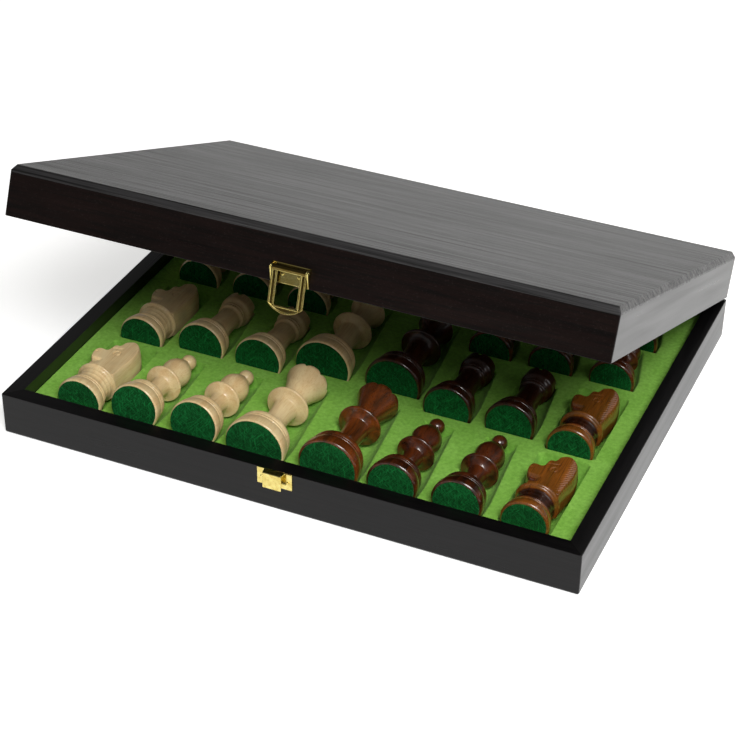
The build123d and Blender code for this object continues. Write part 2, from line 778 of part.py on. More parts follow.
places = []
for colour, hand in (("light", -1), ("dark", 1)):
    outer = hand * knight_column
    second = hand * (knight_column - column_step)
    third = hand * (knight_column - 2 * column_step)
    royal = hand * royal_column
    light = colour == "light"
    bishop_rest = {
        "lift": light_bishop_lift if light else bishop.axis_lift,
        "lean": light_bishop_lean if light else dark_bishop_lean,
    }
    men = [
        ("knight_1", "knight", lying("knight", outer, knight_starts[0])),
        ("knight_2", "knight", lying("knight", outer, knight_starts[1])),
        ("bishop_1", "bishop", lying("bishop", second, officer_starts[0], **bishop_rest)),
        ("bishop_2", "bishop", lying("bishop", third, officer_starts[0], **bishop_rest)),
        ("rook_1", "rook", lying("rook", second, officer_starts[1], lean=rook_lean)),
        ("rook_2", "rook", lying("rook", third, officer_starts[1], lean=rook_lean)),
        ("queen", "queen", lying("queen", royal, royal_starts[0])),
        ("king", "king", lying("king", royal, royal_starts[1])),
    ]
    pawn_spots = [(outer, knight_starts[2]), (outer, knight_starts[3])]
    pawn_spots += [(second, officer_starts[2]), (second, officer_starts[3])]
    pawn_spots += [(third, officer_starts[2]), (third, officer_starts[3])]
    for number, (x, y) in enumerate(pawn_spots, start=1):
        men.append((f"pawn_{number}", "pawn", lying("pawn", x, y)))
    first_y = royal_starts[2] + pawn.base_radius
    for number, y in enumerate((first_y, first_y + 2 * pawn.base_radius + crosswise_gap), start=7):
        x = hand * (royal_column + pawn.length / 2)
        men.append((f"pawn_{number}", "pawn", lying("pawn", x, y, towards=(-hand, 0, 0))))
    places += [Place(f"{colour}_{name}", kind, plane) for name, kind, plane in men]


# --------------------------------------------------------------------- the men
for place in places:
    man, draw = outlines[place.kind]
    flat = place.plane
    spine = Axis(flat.origin, flat.y_dir)
    with BuildPart() as piece:
        with BuildSketch(flat):
            with BuildLine():
                draw(man)
            make_face()
        revolve(axis=spine)
        if place.kind == "queen":
            rim = Plane(flat.from_local_coords((0, man.length, 0)), x_dir=flat.x_dir, z_dir=flat.y_dir)
            with BuildSketch(rim):
                with PolarLocations(man.head_radius + 0.6, coronet_notches):
                    Circle(coronet_notch_radius)
            extrude(amount=-4.5 - coronet_notch_depth, mode=Mode.SUBTRACT)
        if place.kind == "king":
            with BuildSketch(flat):
                with Locations((0, man.length - cross_height / 2)):
                    Rectangle(cross_arm, cross_height)
                with Locations((0, man.length - cross_height * 0.42)):
                    Rectangle(cross_width, cross_arm)
            extrude(amount=cross_thickness / 2, both=True)
        if place.kind == "rook":
            top = Plane(flat.from_local_coords((0, man.length, 0)), x_dir=flat.x_dir, z_dir=flat.y_dir)
            with BuildSketch(top):
                with PolarLocations(0, tower_slots, angular_range=180):
                    Rectangle(2 * man.head_radius + 1, tower_slot_width)
            extrude(amount=-tower_slot_depth, mode=Mode.SUBTRACT)
        if place.kind == "bishop":
            notch_height = man.length - 2 * ball_radius - 7.0
            with BuildSketch(flat):
                with Locations(Location((man.head_radius, notch_height), -35)):
                    Rectangle(man.head_radius * 1.5, mitre_slit)
            extrude(amount=man.head_radius, both=True, mode=Mode.SUBTRACT)
        if place.kind == "knight":
            with BuildSketch(flat):
                with BuildLine():
                    knight_head_outline(man)
                make_face()
            extrude(amount=knight_head_thickness / 2, both=True)
    piece.part.label = place.name
    export_step(piece.part, f"parts/{place.name}.step")

for colour in ("light", "dark"):
    with BuildPart() as felts:
        for place in places:
            if place.name.startswith(colour):
                man = outlines[place.kind][0]
                flat = place.plane
                with BuildSketch(Plane(flat.origin, x_dir=flat.x_dir, z_dir=flat.y_dir)):
                    Circle(man.base_radius - felt_margins[colour])
                extrude(amount=felt_thickness)
    felts.part.label = f"{colour}_base_felts"
    export_step(felts.part, f"parts/{colour}_base_felts.step")


# -------------------------------------------------------------------- the tray
# Turned men lie in tapered troughs that follow base and head. Knights lie in
# straight-sided pockets with room past the head for a finger.
with BuildPart() as nest_tray:
    with BuildSketch(Plane.XY.offset(bottom_panel_thickness)):
        Rectangle(inner_length - 2 * tray_clearance, inner_depth - 2 * tray_clearance)
    extrude(amount=tray_top - bottom_panel_thickness)
    for place in places:
        man = outlines[place.kind][0]
        flat = place.plane
        wide = man.base_radius + nest_clearance
        far = man.length + nest_clearance
        if place.kind == "knight":
            room = finger_room_front if place.name.endswith("1") else finger_room_back
            with BuildSketch(facing_up(flat, 0, (man.length + room) / 2, -wide)):
                RectangleRounded(
                    2 * (man.base_radius + knight_nest_side),
                    man.length + room + 2 * nest_clearance,
                    knight_nest_round,
                )
            extrude(amount=2 * wide, mode=Mode.SUBTRACT)
        else:
            ring_top = felt_thickness + man.band + man.second_band + man.shoulder
            with BuildSketch(flat):
                with BuildLine():
                    Polyline(
                        (0, -nest_clearance),
                        (wide, -nest_clearance),
                        (wide, ring_top),
                        (man.head_radius + nest_clearance, far),
                        (0, far),
                        close=True,
                    )
                make_face()
            revolve(axis=Axis(flat.origin, flat.y_dir), mode=Mode.SUBTRACT)
nest_tray.part.label = "nest_tray"
export_step(nest_tray.part, "parts/nest_tray.step")
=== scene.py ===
import logging
import math
from dataclasses import dataclass
from enum import Enum

import bpy
import numpy as np
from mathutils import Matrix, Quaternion, Vector


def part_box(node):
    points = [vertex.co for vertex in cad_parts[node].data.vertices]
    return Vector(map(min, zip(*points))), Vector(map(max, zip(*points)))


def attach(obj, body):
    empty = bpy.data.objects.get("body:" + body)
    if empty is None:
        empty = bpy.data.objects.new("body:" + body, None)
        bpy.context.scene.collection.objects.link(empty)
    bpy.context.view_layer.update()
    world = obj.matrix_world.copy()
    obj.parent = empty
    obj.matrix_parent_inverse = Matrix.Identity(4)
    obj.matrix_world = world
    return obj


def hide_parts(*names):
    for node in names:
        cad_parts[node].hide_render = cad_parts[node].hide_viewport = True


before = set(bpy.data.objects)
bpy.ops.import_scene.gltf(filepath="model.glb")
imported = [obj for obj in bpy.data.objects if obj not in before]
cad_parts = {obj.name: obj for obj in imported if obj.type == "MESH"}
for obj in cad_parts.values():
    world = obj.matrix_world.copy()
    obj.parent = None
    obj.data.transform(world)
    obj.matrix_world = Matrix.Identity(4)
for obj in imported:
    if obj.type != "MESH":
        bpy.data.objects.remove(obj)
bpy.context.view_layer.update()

log = logging.getLogger("chess_box")
MM = 0.001
LID_REST_ANGLE = math.radians(22.5)
WHITE = (1.0, 1.0, 1.0, 1.0)
NO_TURN = (0.0, 0.0, 0.0)
BELL_STEPS = 3
BELL_WIDTH = 3 * BELL_STEPS

Socket = bpy.types.NodeSocket
Material = bpy.types.Material
Triple = tuple[float, float, float]
Surface = tuple[np.ndarray, list[np.ndarray]]


# --- mesh making ---
def grid_quads(rows: int, columns: int, wrap: bool) -> np.ndarray:
    """Corner numbers of the faces between neighbouring points of a grid.

    Args:
        rows: number of rows of points.
        columns: number of points in a row.
        wrap: whether the last column joins the first.

    Returns:
        Array of four corner numbers for each face.
    """
    across = columns if wrap else columns - 1
    r, c = np.meshgrid(np.arange(rows - 1), np.arange(across), indexing="ij")
    right = (c + 1) % columns
    corners = (r * columns + c, r * columns + right, (r + 1) * columns + right, (r + 1) * columns + c)
    return np.stack(corners, axis=-1).reshape(-1, 4)


def closed_tube(points: np.ndarray) -> Surface:
    """Points and faces of a tube of rings whose two ends are closed to their middles.

    Args:
        points: rings of points, of shape rings by around by 3.

    Returns:
        The points as one list, and the faces as quads and triangles.
    """
    rings, around = points.shape[:2]
    flat = np.concatenate([points.reshape(-1, 3), points[0].mean(0)[None], points[-1].mean(0)[None]])
    step = np.arange(around)
    after = (step + 1) % around
    last = (rings - 1) * around
    start_fan = np.stack([np.full(around, rings * around), after, step], axis=1)
    end_fan = np.stack([np.full(around, rings * around + 1), last + step, last + after], axis=1)
    return flat, [grid_quads(rings, around, True), start_fan, end_fan]


def enclosed(points: np.ndarray, faces: list[np.ndarray]) -> float:
    """Volume inside a closed surface: the sum over triangles of corner products, over six.

    Args:
        points: the surface's points.
        faces: arrays of corner numbers.

    Returns:
        The volume, below 0 if the faces look inwards.
    """
    total = 0.0
    for group in faces:
        for k in range(1, group.shape[1] - 1):
            a, b, c = points[group[:, 0]], points[group[:, k]], points[group[:, k + 1]]
            total += float(np.einsum("ij,ij->i", a, np.cross(b, c)).sum())
    return total / 6


def make_object(
    name: str,
    points: np.ndarray,
    faces: list[np.ndarray],
    crease: float = 40.0,
    closed: bool = True,
    attributes: dict[str, np.ndarray] | None = None,
) -> bpy.types.Object:
    """Puts a surface into the scene as an object at the origin.

    Args:
        name: the piece's name.
        points: the points in metres, in the row's frame.
        faces: arrays of corner numbers, each of one number of corners.
        crease: edges that turn by more degrees than this are drawn sharp.
        closed: whether the surface is closed, so that its faces can be turned outwards.
        attributes: a value or a vector for each point, by the attribute's name.

    Returns:
        The new object.
    """
    if closed and enclosed(points, faces) < 0:
        faces = [group[:, ::-1] for group in faces]
    mesh = bpy.data.meshes.new(name)
    mesh.vertices.add(len(points))
    mesh.vertices.foreach_set("co", points.astype(np.float32).ravel())
    corners = np.concatenate([group.ravel() for group in faces])
    sizes = np.concatenate([np.full(len(group), group.shape[1]) for group in faces])
    mesh.loops.add(len(corners))
    mesh.loops.foreach_set("vertex_index", corners.astype(np.int32))
    mesh.polygons.add(len(sizes))
    mesh.polygons.foreach_set("loop_start", (np.cumsum(sizes) - sizes).astype(np.int32))
    mesh.update(calc_edges=True)
    mesh.validate()
    mesh.polygons.foreach_set("use_smooth", np.ones(len(mesh.polygons), bool))
    mesh.set_sharp_from_angle(angle=math.radians(crease))
    for key, values in (attributes or {}).items():
        kind, field = ("FLOAT_VECTOR", "vector") if values.ndim == 2 else ("FLOAT", "value")
        mesh.attributes.new(key, kind, "POINT").data.foreach_set(field, values.astype(np.float32).ravel())
    made = bpy.data.objects.new(name, mesh)
    bpy.context.scene.collection.objects.link(made)
    return made


def read_at(places: np.ndarray, marks: np.ndarray, line: np.ndarray) -> np.ndarray:
    """Points of a line at given places, where the line's own points lie at the marks."""
    return np.stack([np.interp(places, marks, column) for column in line.T], axis=1)


def even_out(line: np.ndarray, longest: float, sharpest: float) -> np.ndarray:
    """Spaces the points of a line by its length and by its turning.

    The share of each stretch is its length over the longest step plus its
    turning over the sharpest turn, and the shares are then cut up evenly.

    Args:
        line: points of the line, of shape count by 2 or 3.
        longest: longest step along a straight stretch.
        sharpest: largest turn from step to step, in radians.

    Returns:
        The respaced points, with both ends kept.
    """
    apart = np.linalg.norm(np.diff(line, axis=0), axis=1) > 1e-9
    line = line[np.append(apart, True)]
    steps = np.diff(line, axis=0)
    lengths = np.linalg.norm(steps, axis=1)
    unit = steps / lengths[:, None]
    bend = np.arccos(np.clip(np.sum(unit[1:] * unit[:-1], axis=1), -1, 1))
    share = lengths / longest
    share[1:] += bend / sharpest / 2
    share[:-1] += bend / sharpest / 2
    grown = np.concatenate([[0.0], np.cumsum(share)])
    return read_at(np.linspace(0, grown[-1], max(math.ceil(grown[-1]), 2) + 1), grown, line)


def soften(line: np.ndarray, reach: float, closed: bool = False) -> np.ndarray:
    """Rounds a line's corners by averaging it with a bell-shaped weight along its length.

    Args:
        line: points of the line.
        reach: the bell's standard deviation, in the line's own unit.
        closed: whether the line runs round and meets itself.

    Returns:
        The rounded line, evenly spaced, with open ends kept.
    """
    lengths = np.concatenate([[0.0], np.cumsum(np.linalg.norm(np.diff(line, axis=0), axis=1))])
    count = max(int(lengths[-1] / (reach / BELL_STEPS)), BELL_WIDTH - 1)
    even = read_at(np.linspace(0, lengths[-1], count + 1), lengths, line)
    weights = np.exp(-0.5 * (np.arange(-BELL_WIDTH, BELL_WIDTH + 1) / BELL_STEPS) ** 2)
    weights /= weights.sum()
    if closed:
        before, after = even[-BELL_WIDTH - 1 : -1], even[1 : BELL_WIDTH + 1]
    else:
        before = 2 * even[0] - even[BELL_WIDTH:0:-1]
        after = 2 * even[-1] - even[-2 : -BELL_WIDTH - 2 : -1]
    padded = np.concatenate([before, even, after])
    return np.stack([np.convolve(column, weights, "valid") for column in padded.T], axis=1)


def flowing(points: list[tuple[float, float]], samples: int = 16) -> np.ndarray:
    """Smooth line through points, cubic on each stretch, its slope at a point half its neighbours' span.

    Args:
        points: the points, in order.
        samples: points of the line to a stretch.

    Returns:
        The line's points, with both ends kept.
    """
    knots = np.asarray(points, float)
    knots = np.concatenate([2 * knots[:1] - knots[1:2], knots, 2 * knots[-1:] - knots[-2:-1]])
    t = np.linspace(0, 1, samples, endpoint=False)[None, :, None]
    a, b, c, d = (knots[i : len(knots) - 3 + i, None, :] for i in range(4))
    curve = 0.5 * (2 * b + (c - a) * t + (2 * a - 5 * b + 4 * c - d) * t**2 + (3 * b - a - 3 * c + d) * t**3)
    return np.concatenate([curve.reshape(-1, knots.shape[1]), knots[-2:-1]])


class Turning:
    """Half outline of a turned piece, drawn from its foot upwards as radius and height."""

    straight_points = 12
    arc_points = 28
    dome_points = 40
    cut_edges = (0.1, 0.5, 0.6)
    sharpest = math.radians(14)

    def __init__(self, radius: float, height: float) -> None:
        """Starts the outline at a radius and a height."""
        self.runs: list[np.ndarray] = [np.array([[radius, height]], float)]

    @property
    def end(self) -> np.ndarray:
        """The outline's last point so far."""
        return self.runs[-1][-1]

    def to(self, radius: float, height: float) -> "Turning":
        """Draws straight to a point."""
        t = np.linspace(0, 1, self.straight_points)[1:, None]
        self.runs.append(self.end * (1 - t) + np.array([radius, height]) * t)
        return self

    def arc(self, radius: float, height: float, swell: float) -> "Turning":
        """Draws an arc to a point.

        The circle's radius is (half chord squared plus swell squared) over twice
        the swell, and its middle lies that far back from the arc's crown.

        Args:
            radius: end radius.
            height: end height.
            swell: rise of the arc over its chord, outwards if positive.

        Returns:
            This outline.
        """
        start, stop = self.end, np.array([radius, height], float)
        chord = stop - start
        half = np.linalg.norm(chord) / 2
        along = chord / (2 * half)
        out = np.array([along[1], -along[0]]) * np.sign(swell)
        rise = abs(swell)
        circle = (half**2 + rise**2) / (2 * rise)
        middle = (start + stop) / 2 + out * (rise - circle)
        reach = math.atan2(half, circle - rise)
        angle = np.linspace(-reach, reach, self.arc_points)[1:, None]
        self.runs.append(middle + circle * (np.sin(angle) * along + np.cos(angle) * out))
        return self

    def cut(self, floor: float, height: float, radius: float) -> "Turning":
        """Draws a narrow cut line: in to its floor, up along it and out to a radius."""
        near, far, out = self.cut_edges
        return self.to(floor, height + near).to(floor, height + far).to(radius, height + out)

    def curve(self, *points: tuple[float, float]) -> "Turning":
        """Draws a smooth line through points."""
        self.runs.append(flowing([tuple(self.end), *points])[1:])
        return self

    def dome(self, top: float) -> "Turning":
        """Draws an arc centred on the axis, up to the axis.

        Args:
            top: height at which the arc meets the axis.

        Returns:
            This outline.
        """
        start = self.end
        rise = top - start[1]
        radius = (start[0] ** 2 + rise**2) / (2 * rise)
        reach = math.atan2(start[0], radius - rise)
        angle = np.linspace(reach, 0, self.dome_points)[1:]
        self.runs.append(np.stack([radius * np.sin(angle), top - radius + radius * np.cos(angle)], axis=1))
        return self

    def outline(self, rounding: float, longest: float) -> np.ndarray:
        """The whole outline with its edges eased, spaced for a smooth surface.

        Args:
            rounding: how far the edges are eased.
            longest: longest step along a straight stretch.

        Returns:
            Radius and height of each point.
        """
        line = soften(np.concatenate(self.runs), rounding)
        line[:, 0] = np.maximum(line[:, 0], 0.0)
        return even_out(line, longest, self.sharpest)


# --- materials ---
class NodeSheet:
    """A new material's node tree, with short calls that add and join nodes."""

    def __init__(self, name: str) -> None:
        """Makes the material with an empty Principled shader on it."""
        self.material = bpy.data.materials.new(name)
        self.material.use_nodes = True
        self.tree = self.material.node_tree
        self.tree.nodes.clear()
        self.shader = self.add("ShaderNodeBsdfPrincipled")
        output = self.add("ShaderNodeOutputMaterial")
        self.tree.links.new(self.shader.outputs["BSDF"], output.inputs["Surface"])

    def add(self, kind: str, **settings: object) -> bpy.types.Node:
        """Adds a node and sets its properties."""
        node = self.tree.nodes.new(kind)
        for key, value in settings.items():
            setattr(node, key, value)
        return node

    def feed(self, node: bpy.types.Node, **sockets: object) -> bpy.types.Node:
        """Sets a node's inputs, each to a number, a colour or another node's output."""
        for key, value in sockets.items():
            name = key.replace("_", " ")
            socket = node.inputs[int(key[1:])] if key[0] == "i" and key[1:].isdigit() else node.inputs[name]
            if isinstance(value, Socket):
                self.tree.links.new(value, socket)
            else:
                socket.default_value = value
        return node

    def get(self, kind: str, result: str | int, settings: dict | None = None, **sockets: object) -> Socket:
        """Adds a node with its properties and inputs, and gives one of its outputs."""
        return self.feed(self.add(kind, **(settings or {})), **sockets).outputs[result]

    def place(self, turn: tuple, scale: tuple, shift: tuple = NO_TURN, key: str = "") -> Socket:
        """Pattern coordinates, which lay a pattern over a piece.

        Args:
            turn: rotation of the pattern, in radians.
            scale: cells of the pattern to a metre, along each of its axes.
            shift: where the pattern starts.
            key: attribute of the points that holds their place, or none for the object's own frame.

        Returns:
            The coordinates' socket.
        """
        if key:
            where = self.get("ShaderNodeAttribute", "Vector", {"attribute_name": key})
        else:
            where = self.get("ShaderNodeTexCoord", "Object")
        inputs = {"Vector": where, "Rotation": turn, "Scale": tuple(1 / s for s in scale), "Location": shift}
        return self.get("ShaderNodeMapping", "Vector", {"vector_type": "TEXTURE"}, **inputs)

    def noise(self, where: Socket, scale: float, detail: float, rough: float, twist: float = 0) -> Socket:
        """Smooth random value from 0 to 1."""
        inputs = {"Scale": scale, "Detail": detail, "Roughness": rough, "Distortion": twist}
        return self.get("ShaderNodeTexNoise", "Fac", Vector=where, **inputs)

    def strands(self, turn: tuple, cells: tuple, detail: float, rough: float, twist: float = 0) -> Socket:
        """Noise drawn out along a turned grain, with given cells to a metre along and across it."""
        return self.noise(self.place(turn, cells), 1.0, detail, rough, twist)

    def ramp(self, value: Socket, *stops: tuple[float, tuple]) -> Socket:
        """Colour that follows a value through given stops.

        Args:
            value: the value, from 0 to 1.
            stops: places on the ramp, each with its colour.

        Returns:
            The colour's socket.
        """
        node = self.add("ShaderNodeValToRGB")
        band = node.color_ramp
        while len(band.elements) < len(stops):
            band.elements.new(0.5)
        for element, (position, colour) in zip(band.elements, stops):
            element.position = position
            element.color = (*colour, 1) if len(colour) == 3 else colour
        self.feed(node, Fac=value)
        return node.outputs["Color"]

    def span(self, value: Socket, low: float, high: float, to_low: float, to_high: float) -> Socket:
        """Value stretched from one range to another and held at its ends."""
        return self.get("ShaderNodeMapRange", "Result", i0=value, i1=low, i2=high, i3=to_low, i4=to_high)

    def mix(self, share: object, first: object, second: object, how: str = "MIX") -> Socket:
        """Mixed colour of two."""
        settings = {"data_type": "RGBA", "blend_type": how}
        return self.get("ShaderNodeMix", 2, settings, i0=share, i6=first, i7=second)

    def times(self, first: object, second: object) -> Socket:
        """Product of two colours."""
        return self.mix(1.0, first, second, "MULTIPLY")

    def maths(self, first: object, second: object, how: str = "ADD") -> Socket:
        """Result of a sum, product or other operation on two values."""
        return self.get("ShaderNodeMath", 0, {"operation": how}, i0=first, i1=second)

    def bump(self, height: Socket, strength: float, depth: float, **under: Socket) -> None:
        """Joins a height to the shader's normal, its depth in metres, over another Normal if one is given."""
        inputs = {"Height": height, "Strength": strength, "Distance": depth, **under}
        self.feed(self.shader, Normal=self.get("ShaderNodeBump", "Normal", **inputs))


def shade(red: float, green: float, blue: float) -> tuple[float, float, float, float]:
    """Linear colour from the 0 to 255 values seen on screen, by the sRGB curve.

    Args:
        red: the colour's red.
        green: its green.
        blue: its blue.

    Returns:
        The linear red, green and blue, and 1 for full cover.
    """
    value = np.array([red, green, blue]) / 255
    linear = np.where(value <= 0.04045, value / 12.92, ((value + 0.055) / 1.055) ** 2.4)
    return (*(float(v) for v in linear), 1.0)


class Grain(Enum):
    """Which way the grain of a board of the case runs."""

    ALONG = "along the box"
    ACROSS = "from front to back"

    def turn(self, tilt: float) -> Triple:
        """Rotation that lays the grain along the pattern's X on a board tilted about X."""
        return (-tilt, 0.0, 0.0) if self is Grain.ALONG else (0.0, tilt, math.radians(90))


@dataclass(frozen=True)
class StainedBoard:
    """Black stained hardwood under satin lacquer, with short open pores and fine dust in them."""

    name: str
    body: tuple
    pore: tuple
    grain: Grain
    tilt: float = 0.0
    gloss: float = 0.3
    shine: float = 0.5
    speckle: float = 0.0
    dust: tuple = (0.12, 0.09, 0.08, 1)
    pore_depth: float = 0.00005
    pore_cells: tuple = (28, 1400, 900)
    streak_cells: tuple = (6, 160, 120)
    dust_cells: tuple = (900, 1500, 1500)

    def make(self) -> Material:
        """Material of three layers of noise: pores and streaks drawn out along the grain, and dust."""
        sheet = NodeSheet(self.name)
        turn = self.grain.turn(self.tilt)
        fine = sheet.strands(turn, self.pore_cells, 3, 0.6)
        broad = sheet.strands(turn, self.streak_cells, 3, 0.5, 0.3)
        grit = sheet.strands(turn, self.dust_cells, 2, 0.6)
        streak = sheet.ramp(fine, (0.36, self.pore), (0.56, self.body))
        tint = sheet.ramp(broad, (0.3, (0.72, 0.72, 0.74)), (0.7, (1.25, 1.2, 1.18)))
        colour = sheet.times(streak, tint)
        colour = sheet.mix(sheet.span(grit, 0.62, 0.8, 0.0, self.speckle), colour, self.dust)
        rough = sheet.span(broad, 0.3, 0.7, self.gloss - 0.03, self.gloss + 0.05)
        sheet.feed(sheet.shader, Base_Color=colour, Roughness=rough, IOR=1.5, Specular_IOR_Level=self.shine)
        sheet.bump(sheet.maths(fine, sheet.maths(grit, 0.35, "MULTIPLY")), 0.5, self.pore_depth)
        return sheet.material


@dataclass(frozen=True)
class OpenVeneer:
    """Black open-pored veneer: long fine ridges and pores under a thin satin lacquer."""

    name: str
    ridge: tuple
    valley: tuple
    tilt: float
    gloss: float = 0.38
    depth: float = 0.0003
    line_cells: tuple = (7, 620, 400)
    pore_cells: tuple = (34, 1500, 900)
    band_cells: tuple = (2.2, 42, 30)

    def make(self) -> Material:
        """Material of three layers of drawn-out noise: lines, pores and broad bands."""
        sheet = NodeSheet(self.name)
        turn = Grain.ALONG.turn(self.tilt)
        lines = sheet.strands(turn, self.line_cells, 4, 0.65, 0.25)
        pores = sheet.strands(turn, self.pore_cells, 2, 0.5)
        bands = sheet.strands(turn, self.band_cells, 3, 0.5, 0.5)
        colour = sheet.ramp(lines, (0.34, self.valley), (0.62, self.ridge))
        shadow = sheet.ramp(pores, (0.33, (0.45, 0.44, 0.43)), (0.5, (1, 1, 1)))
        tone = sheet.ramp(bands, (0.3, (0.75, 0.75, 0.76)), (0.72, (1.3, 1.28, 1.26)))
        colour = sheet.times(sheet.times(colour, shadow), tone)
        rough = sheet.span(lines, 0.3, 0.7, self.gloss + 0.1, self.gloss - 0.06)
        shine = sheet.maths(
            sheet.span(lines, 0.32, 0.6, 0.25, 1.1), sheet.span(bands, 0.3, 0.7, 0.75, 1.15), "MULTIPLY"
        )
        sheet.feed(sheet.shader, Base_Color=colour, Roughness=rough, IOR=1.5, Specular_IOR_Level=shine)
        sheet.bump(sheet.maths(lines, sheet.maths(pores, 0.5, "MULTIPLY")), 0.8, self.depth)
        return sheet.material


@dataclass(frozen=True)
class TurnedWood:
    """Wood of the men, its grain along each man's axis, read from the piece's own place attribute."""

    name: str
    early: tuple
    late: tuple
    pore: tuple
    pale: tuple
    # dark colour of stained wood, also used for the painted shade under a dark knight's jaw
    stain_and_throat_shade: tuple
    gloss: float
    coat: float
    figure: float
    ring_cells: tuple = (110, 9, 110)
    fibre_cells: tuple = (1500, 45, 1500)
    blotch_cells: float = 55
    fibre_depth: float = 0.00006

    def make(self) -> Material:
        """Material of rings cut lengthwise: a wave across the axis bent by noise, with pores over it."""
        sheet = NodeSheet(self.name)
        scales = ((1, 1, 1), self.ring_cells, self.fibre_cells)
        where, bent, fine = (sheet.place(NO_TURN, cells, key="wood_place") for cells in scales)
        rings = sheet.noise(bent, 1.6, 3, 0.55, 0.6)
        fibre = sheet.noise(fine, 1.0, 3, 0.6)
        blotch = sheet.noise(where, self.blotch_cells, 2, 0.5)
        tone = sheet.get("ShaderNodeAttribute", "Fac", {"attribute_name": "tone"})
        base = sheet.ramp(rings, (0.33, self.late), (0.62, self.early))
        base = sheet.mix(sheet.span(tone, 0.0, 1.0, 0.0, 1.0), base, sheet.mix(0.6, base, self.pale))
        # tone below 0 mixes towards the dark colour: staining on the darker men and a dark knight's waist,
        # painted shade under a dark knight's jaw
        base = sheet.mix(sheet.span(tone, -0.5, 0.0, 0.75, 0.0), base, self.stain_and_throat_shade)
        lines = sheet.ramp(fibre, (0.32, self.pore), (0.52, (1, 1, 1)))
        cloud = sheet.ramp(blotch, (0.3, (0.86, 0.86, 0.86)), (0.7, (1.1, 1.1, 1.1)))
        colour = sheet.mix(self.figure, base, sheet.times(base, lines))
        colour = sheet.times(colour, cloud)
        rough = sheet.span(fibre, 0.3, 0.7, self.gloss + 0.08, self.gloss)
        sheet.feed(sheet.shader, Base_Color=colour, Roughness=rough, IOR=1.5)
        sheet.feed(sheet.shader, Coat_Weight=self.coat, Coat_Roughness=0.09)
        sheet.bump(fibre, 0.35, self.fibre_depth)
        return sheet.material


@dataclass(frozen=True)
class Flock:
    """Short green flock glued over the tray."""

    name: str
    lit: tuple
    deep: tuple
    pile_cells: float = 1500
    cloud_cells: float = 60
    speck_cells: float = 420
    pile_depth: float = 0.0004

    def make(self) -> Material:
        """Material with a fibre-sized bump, faint clouds where the pile lies over, and a soft sheen."""
        sheet = NodeSheet(self.name)
        where = sheet.place(NO_TURN, (1, 1, 1))
        pile = sheet.noise(where, self.pile_cells, 3, 0.7)
        clouds = sheet.noise(where, self.cloud_cells, 4, 0.6, 0.4)
        speck = sheet.noise(where, self.speck_cells, 2, 0.6)
        colour = sheet.ramp(clouds, (0.3, self.deep), (0.72, self.lit))
        grain = sheet.ramp(speck, (0.3, (0.8, 0.84, 0.76)), (0.7, (1.12, 1.1, 1.14)))
        colour = sheet.times(colour, grain)
        sheet.feed(sheet.shader, Base_Color=colour, Roughness=0.95, Specular_IOR_Level=0.1)
        sheet.feed(sheet.shader, Sheen_Weight=0.1, Sheen_Roughness=0.5, Sheen_Tint=(0.7, 1.0, 0.5, 1))
        sheet.bump(sheet.maths(pile, speck), 0.6, self.pile_depth)
        return sheet.material


@dataclass(frozen=True)
class BaseFelt:
    """Dark green felt with loose crossing fibres."""

    name: str
    body: tuple
    fibre: tuple
    fibre_turns: tuple = (38, -47, 84)
    fibre_cells: tuple = (170, 170, 2200)
    fibre_depth: float = 0.0003

    def make(self) -> Material:
        """Material with three layers of drawn-out noise, laid across each other, for the fibres."""
        sheet = NodeSheet(self.name)
        strands = None
        for turn in self.fibre_turns:
            where = sheet.place((0, math.radians(turn), 0), self.fibre_cells, (turn * 0.01, 0, 0))
            layer = sheet.noise(where, 1.0, 2, 0.6, 1.2)
            strands = layer if strands is None else sheet.maths(strands, layer, "MAXIMUM")
        colour = sheet.ramp(strands, (0.54, self.body), (0.74, self.fibre))
        sheet.feed(sheet.shader, Base_Color=colour, Roughness=0.95, Specular_IOR_Level=0.15)
        sheet.feed(sheet.shader, Sheen_Weight=0.12, Sheen_Roughness=0.4, Sheen_Tint=(0.5, 1.0, 0.7, 1))
        sheet.bump(strands, 0.8, self.fibre_depth)
        return sheet.material


@dataclass(frozen=True)
class PolishedBrass:
    """Plated sheet brass with edges worn round, a light orange-peel, small dulled patches and, where its
    share is set, painted shade over its flat faces.
    """

    name: str
    colour: tuple
    dull: tuple
    gloss: float
    # share of painted shade laid over the flat faces
    painted_shade_share: float = 0.0
    edge: float = 0.0
    edge_radius: float = 0.0006
    # colour that the painted shade mixes towards
    shadow: tuple = (0.12, 0.09, 0.05, 1)
    cloud_cells: float = 260
    peel_cells: float = 1400
    peel_depth: float = 0.00008

    def make(self) -> Material:
        """Material whose flat faces away from the rounded edges are darkened towards the shadow colour as
        painted shade, by its share, and whose edges are duller by the edge share.
        """
        sheet = NodeSheet(self.name)
        where = sheet.place(NO_TURN, (1, 1, 1))
        cloud = sheet.noise(where, self.cloud_cells, 3, 0.6)
        fine = sheet.noise(where, self.peel_cells, 2, 0.5)
        worn = sheet.get("ShaderNodeBevel", "Normal", {"samples": 6}, Radius=self.edge_radius)
        true = sheet.get("ShaderNodeNewGeometry", "Normal")
        flat = sheet.get("ShaderNodeVectorMath", "Value", {"operation": "DOT_PRODUCT"}, i0=worn, i1=true)
        # painted shade: flat faces between the rounded edges are mixed towards the shadow colour, standing in
        # for the dark reflection down the loop's groove
        middle = sheet.span(flat, 0.9, 1.0, 0.0, self.painted_shade_share)
        colour = sheet.ramp(cloud, (0.35, self.dull), (0.65, self.colour))
        colour = sheet.mix(middle, colour, sheet.times(colour, self.shadow))
        rough = sheet.span(cloud, 0.3, 0.7, self.gloss + 0.08, self.gloss)
        rough = sheet.maths(rough, sheet.span(flat, 0.9, 1.0, self.edge, 0.0))
        sheet.feed(sheet.shader, Base_Color=colour, Metallic=1.0, Roughness=rough)
        sheet.bump(sheet.maths(cloud, sheet.maths(fine, 0.1, "MULTIPLY")), 0.1, self.peel_depth, Normal=worn)
        return sheet.material


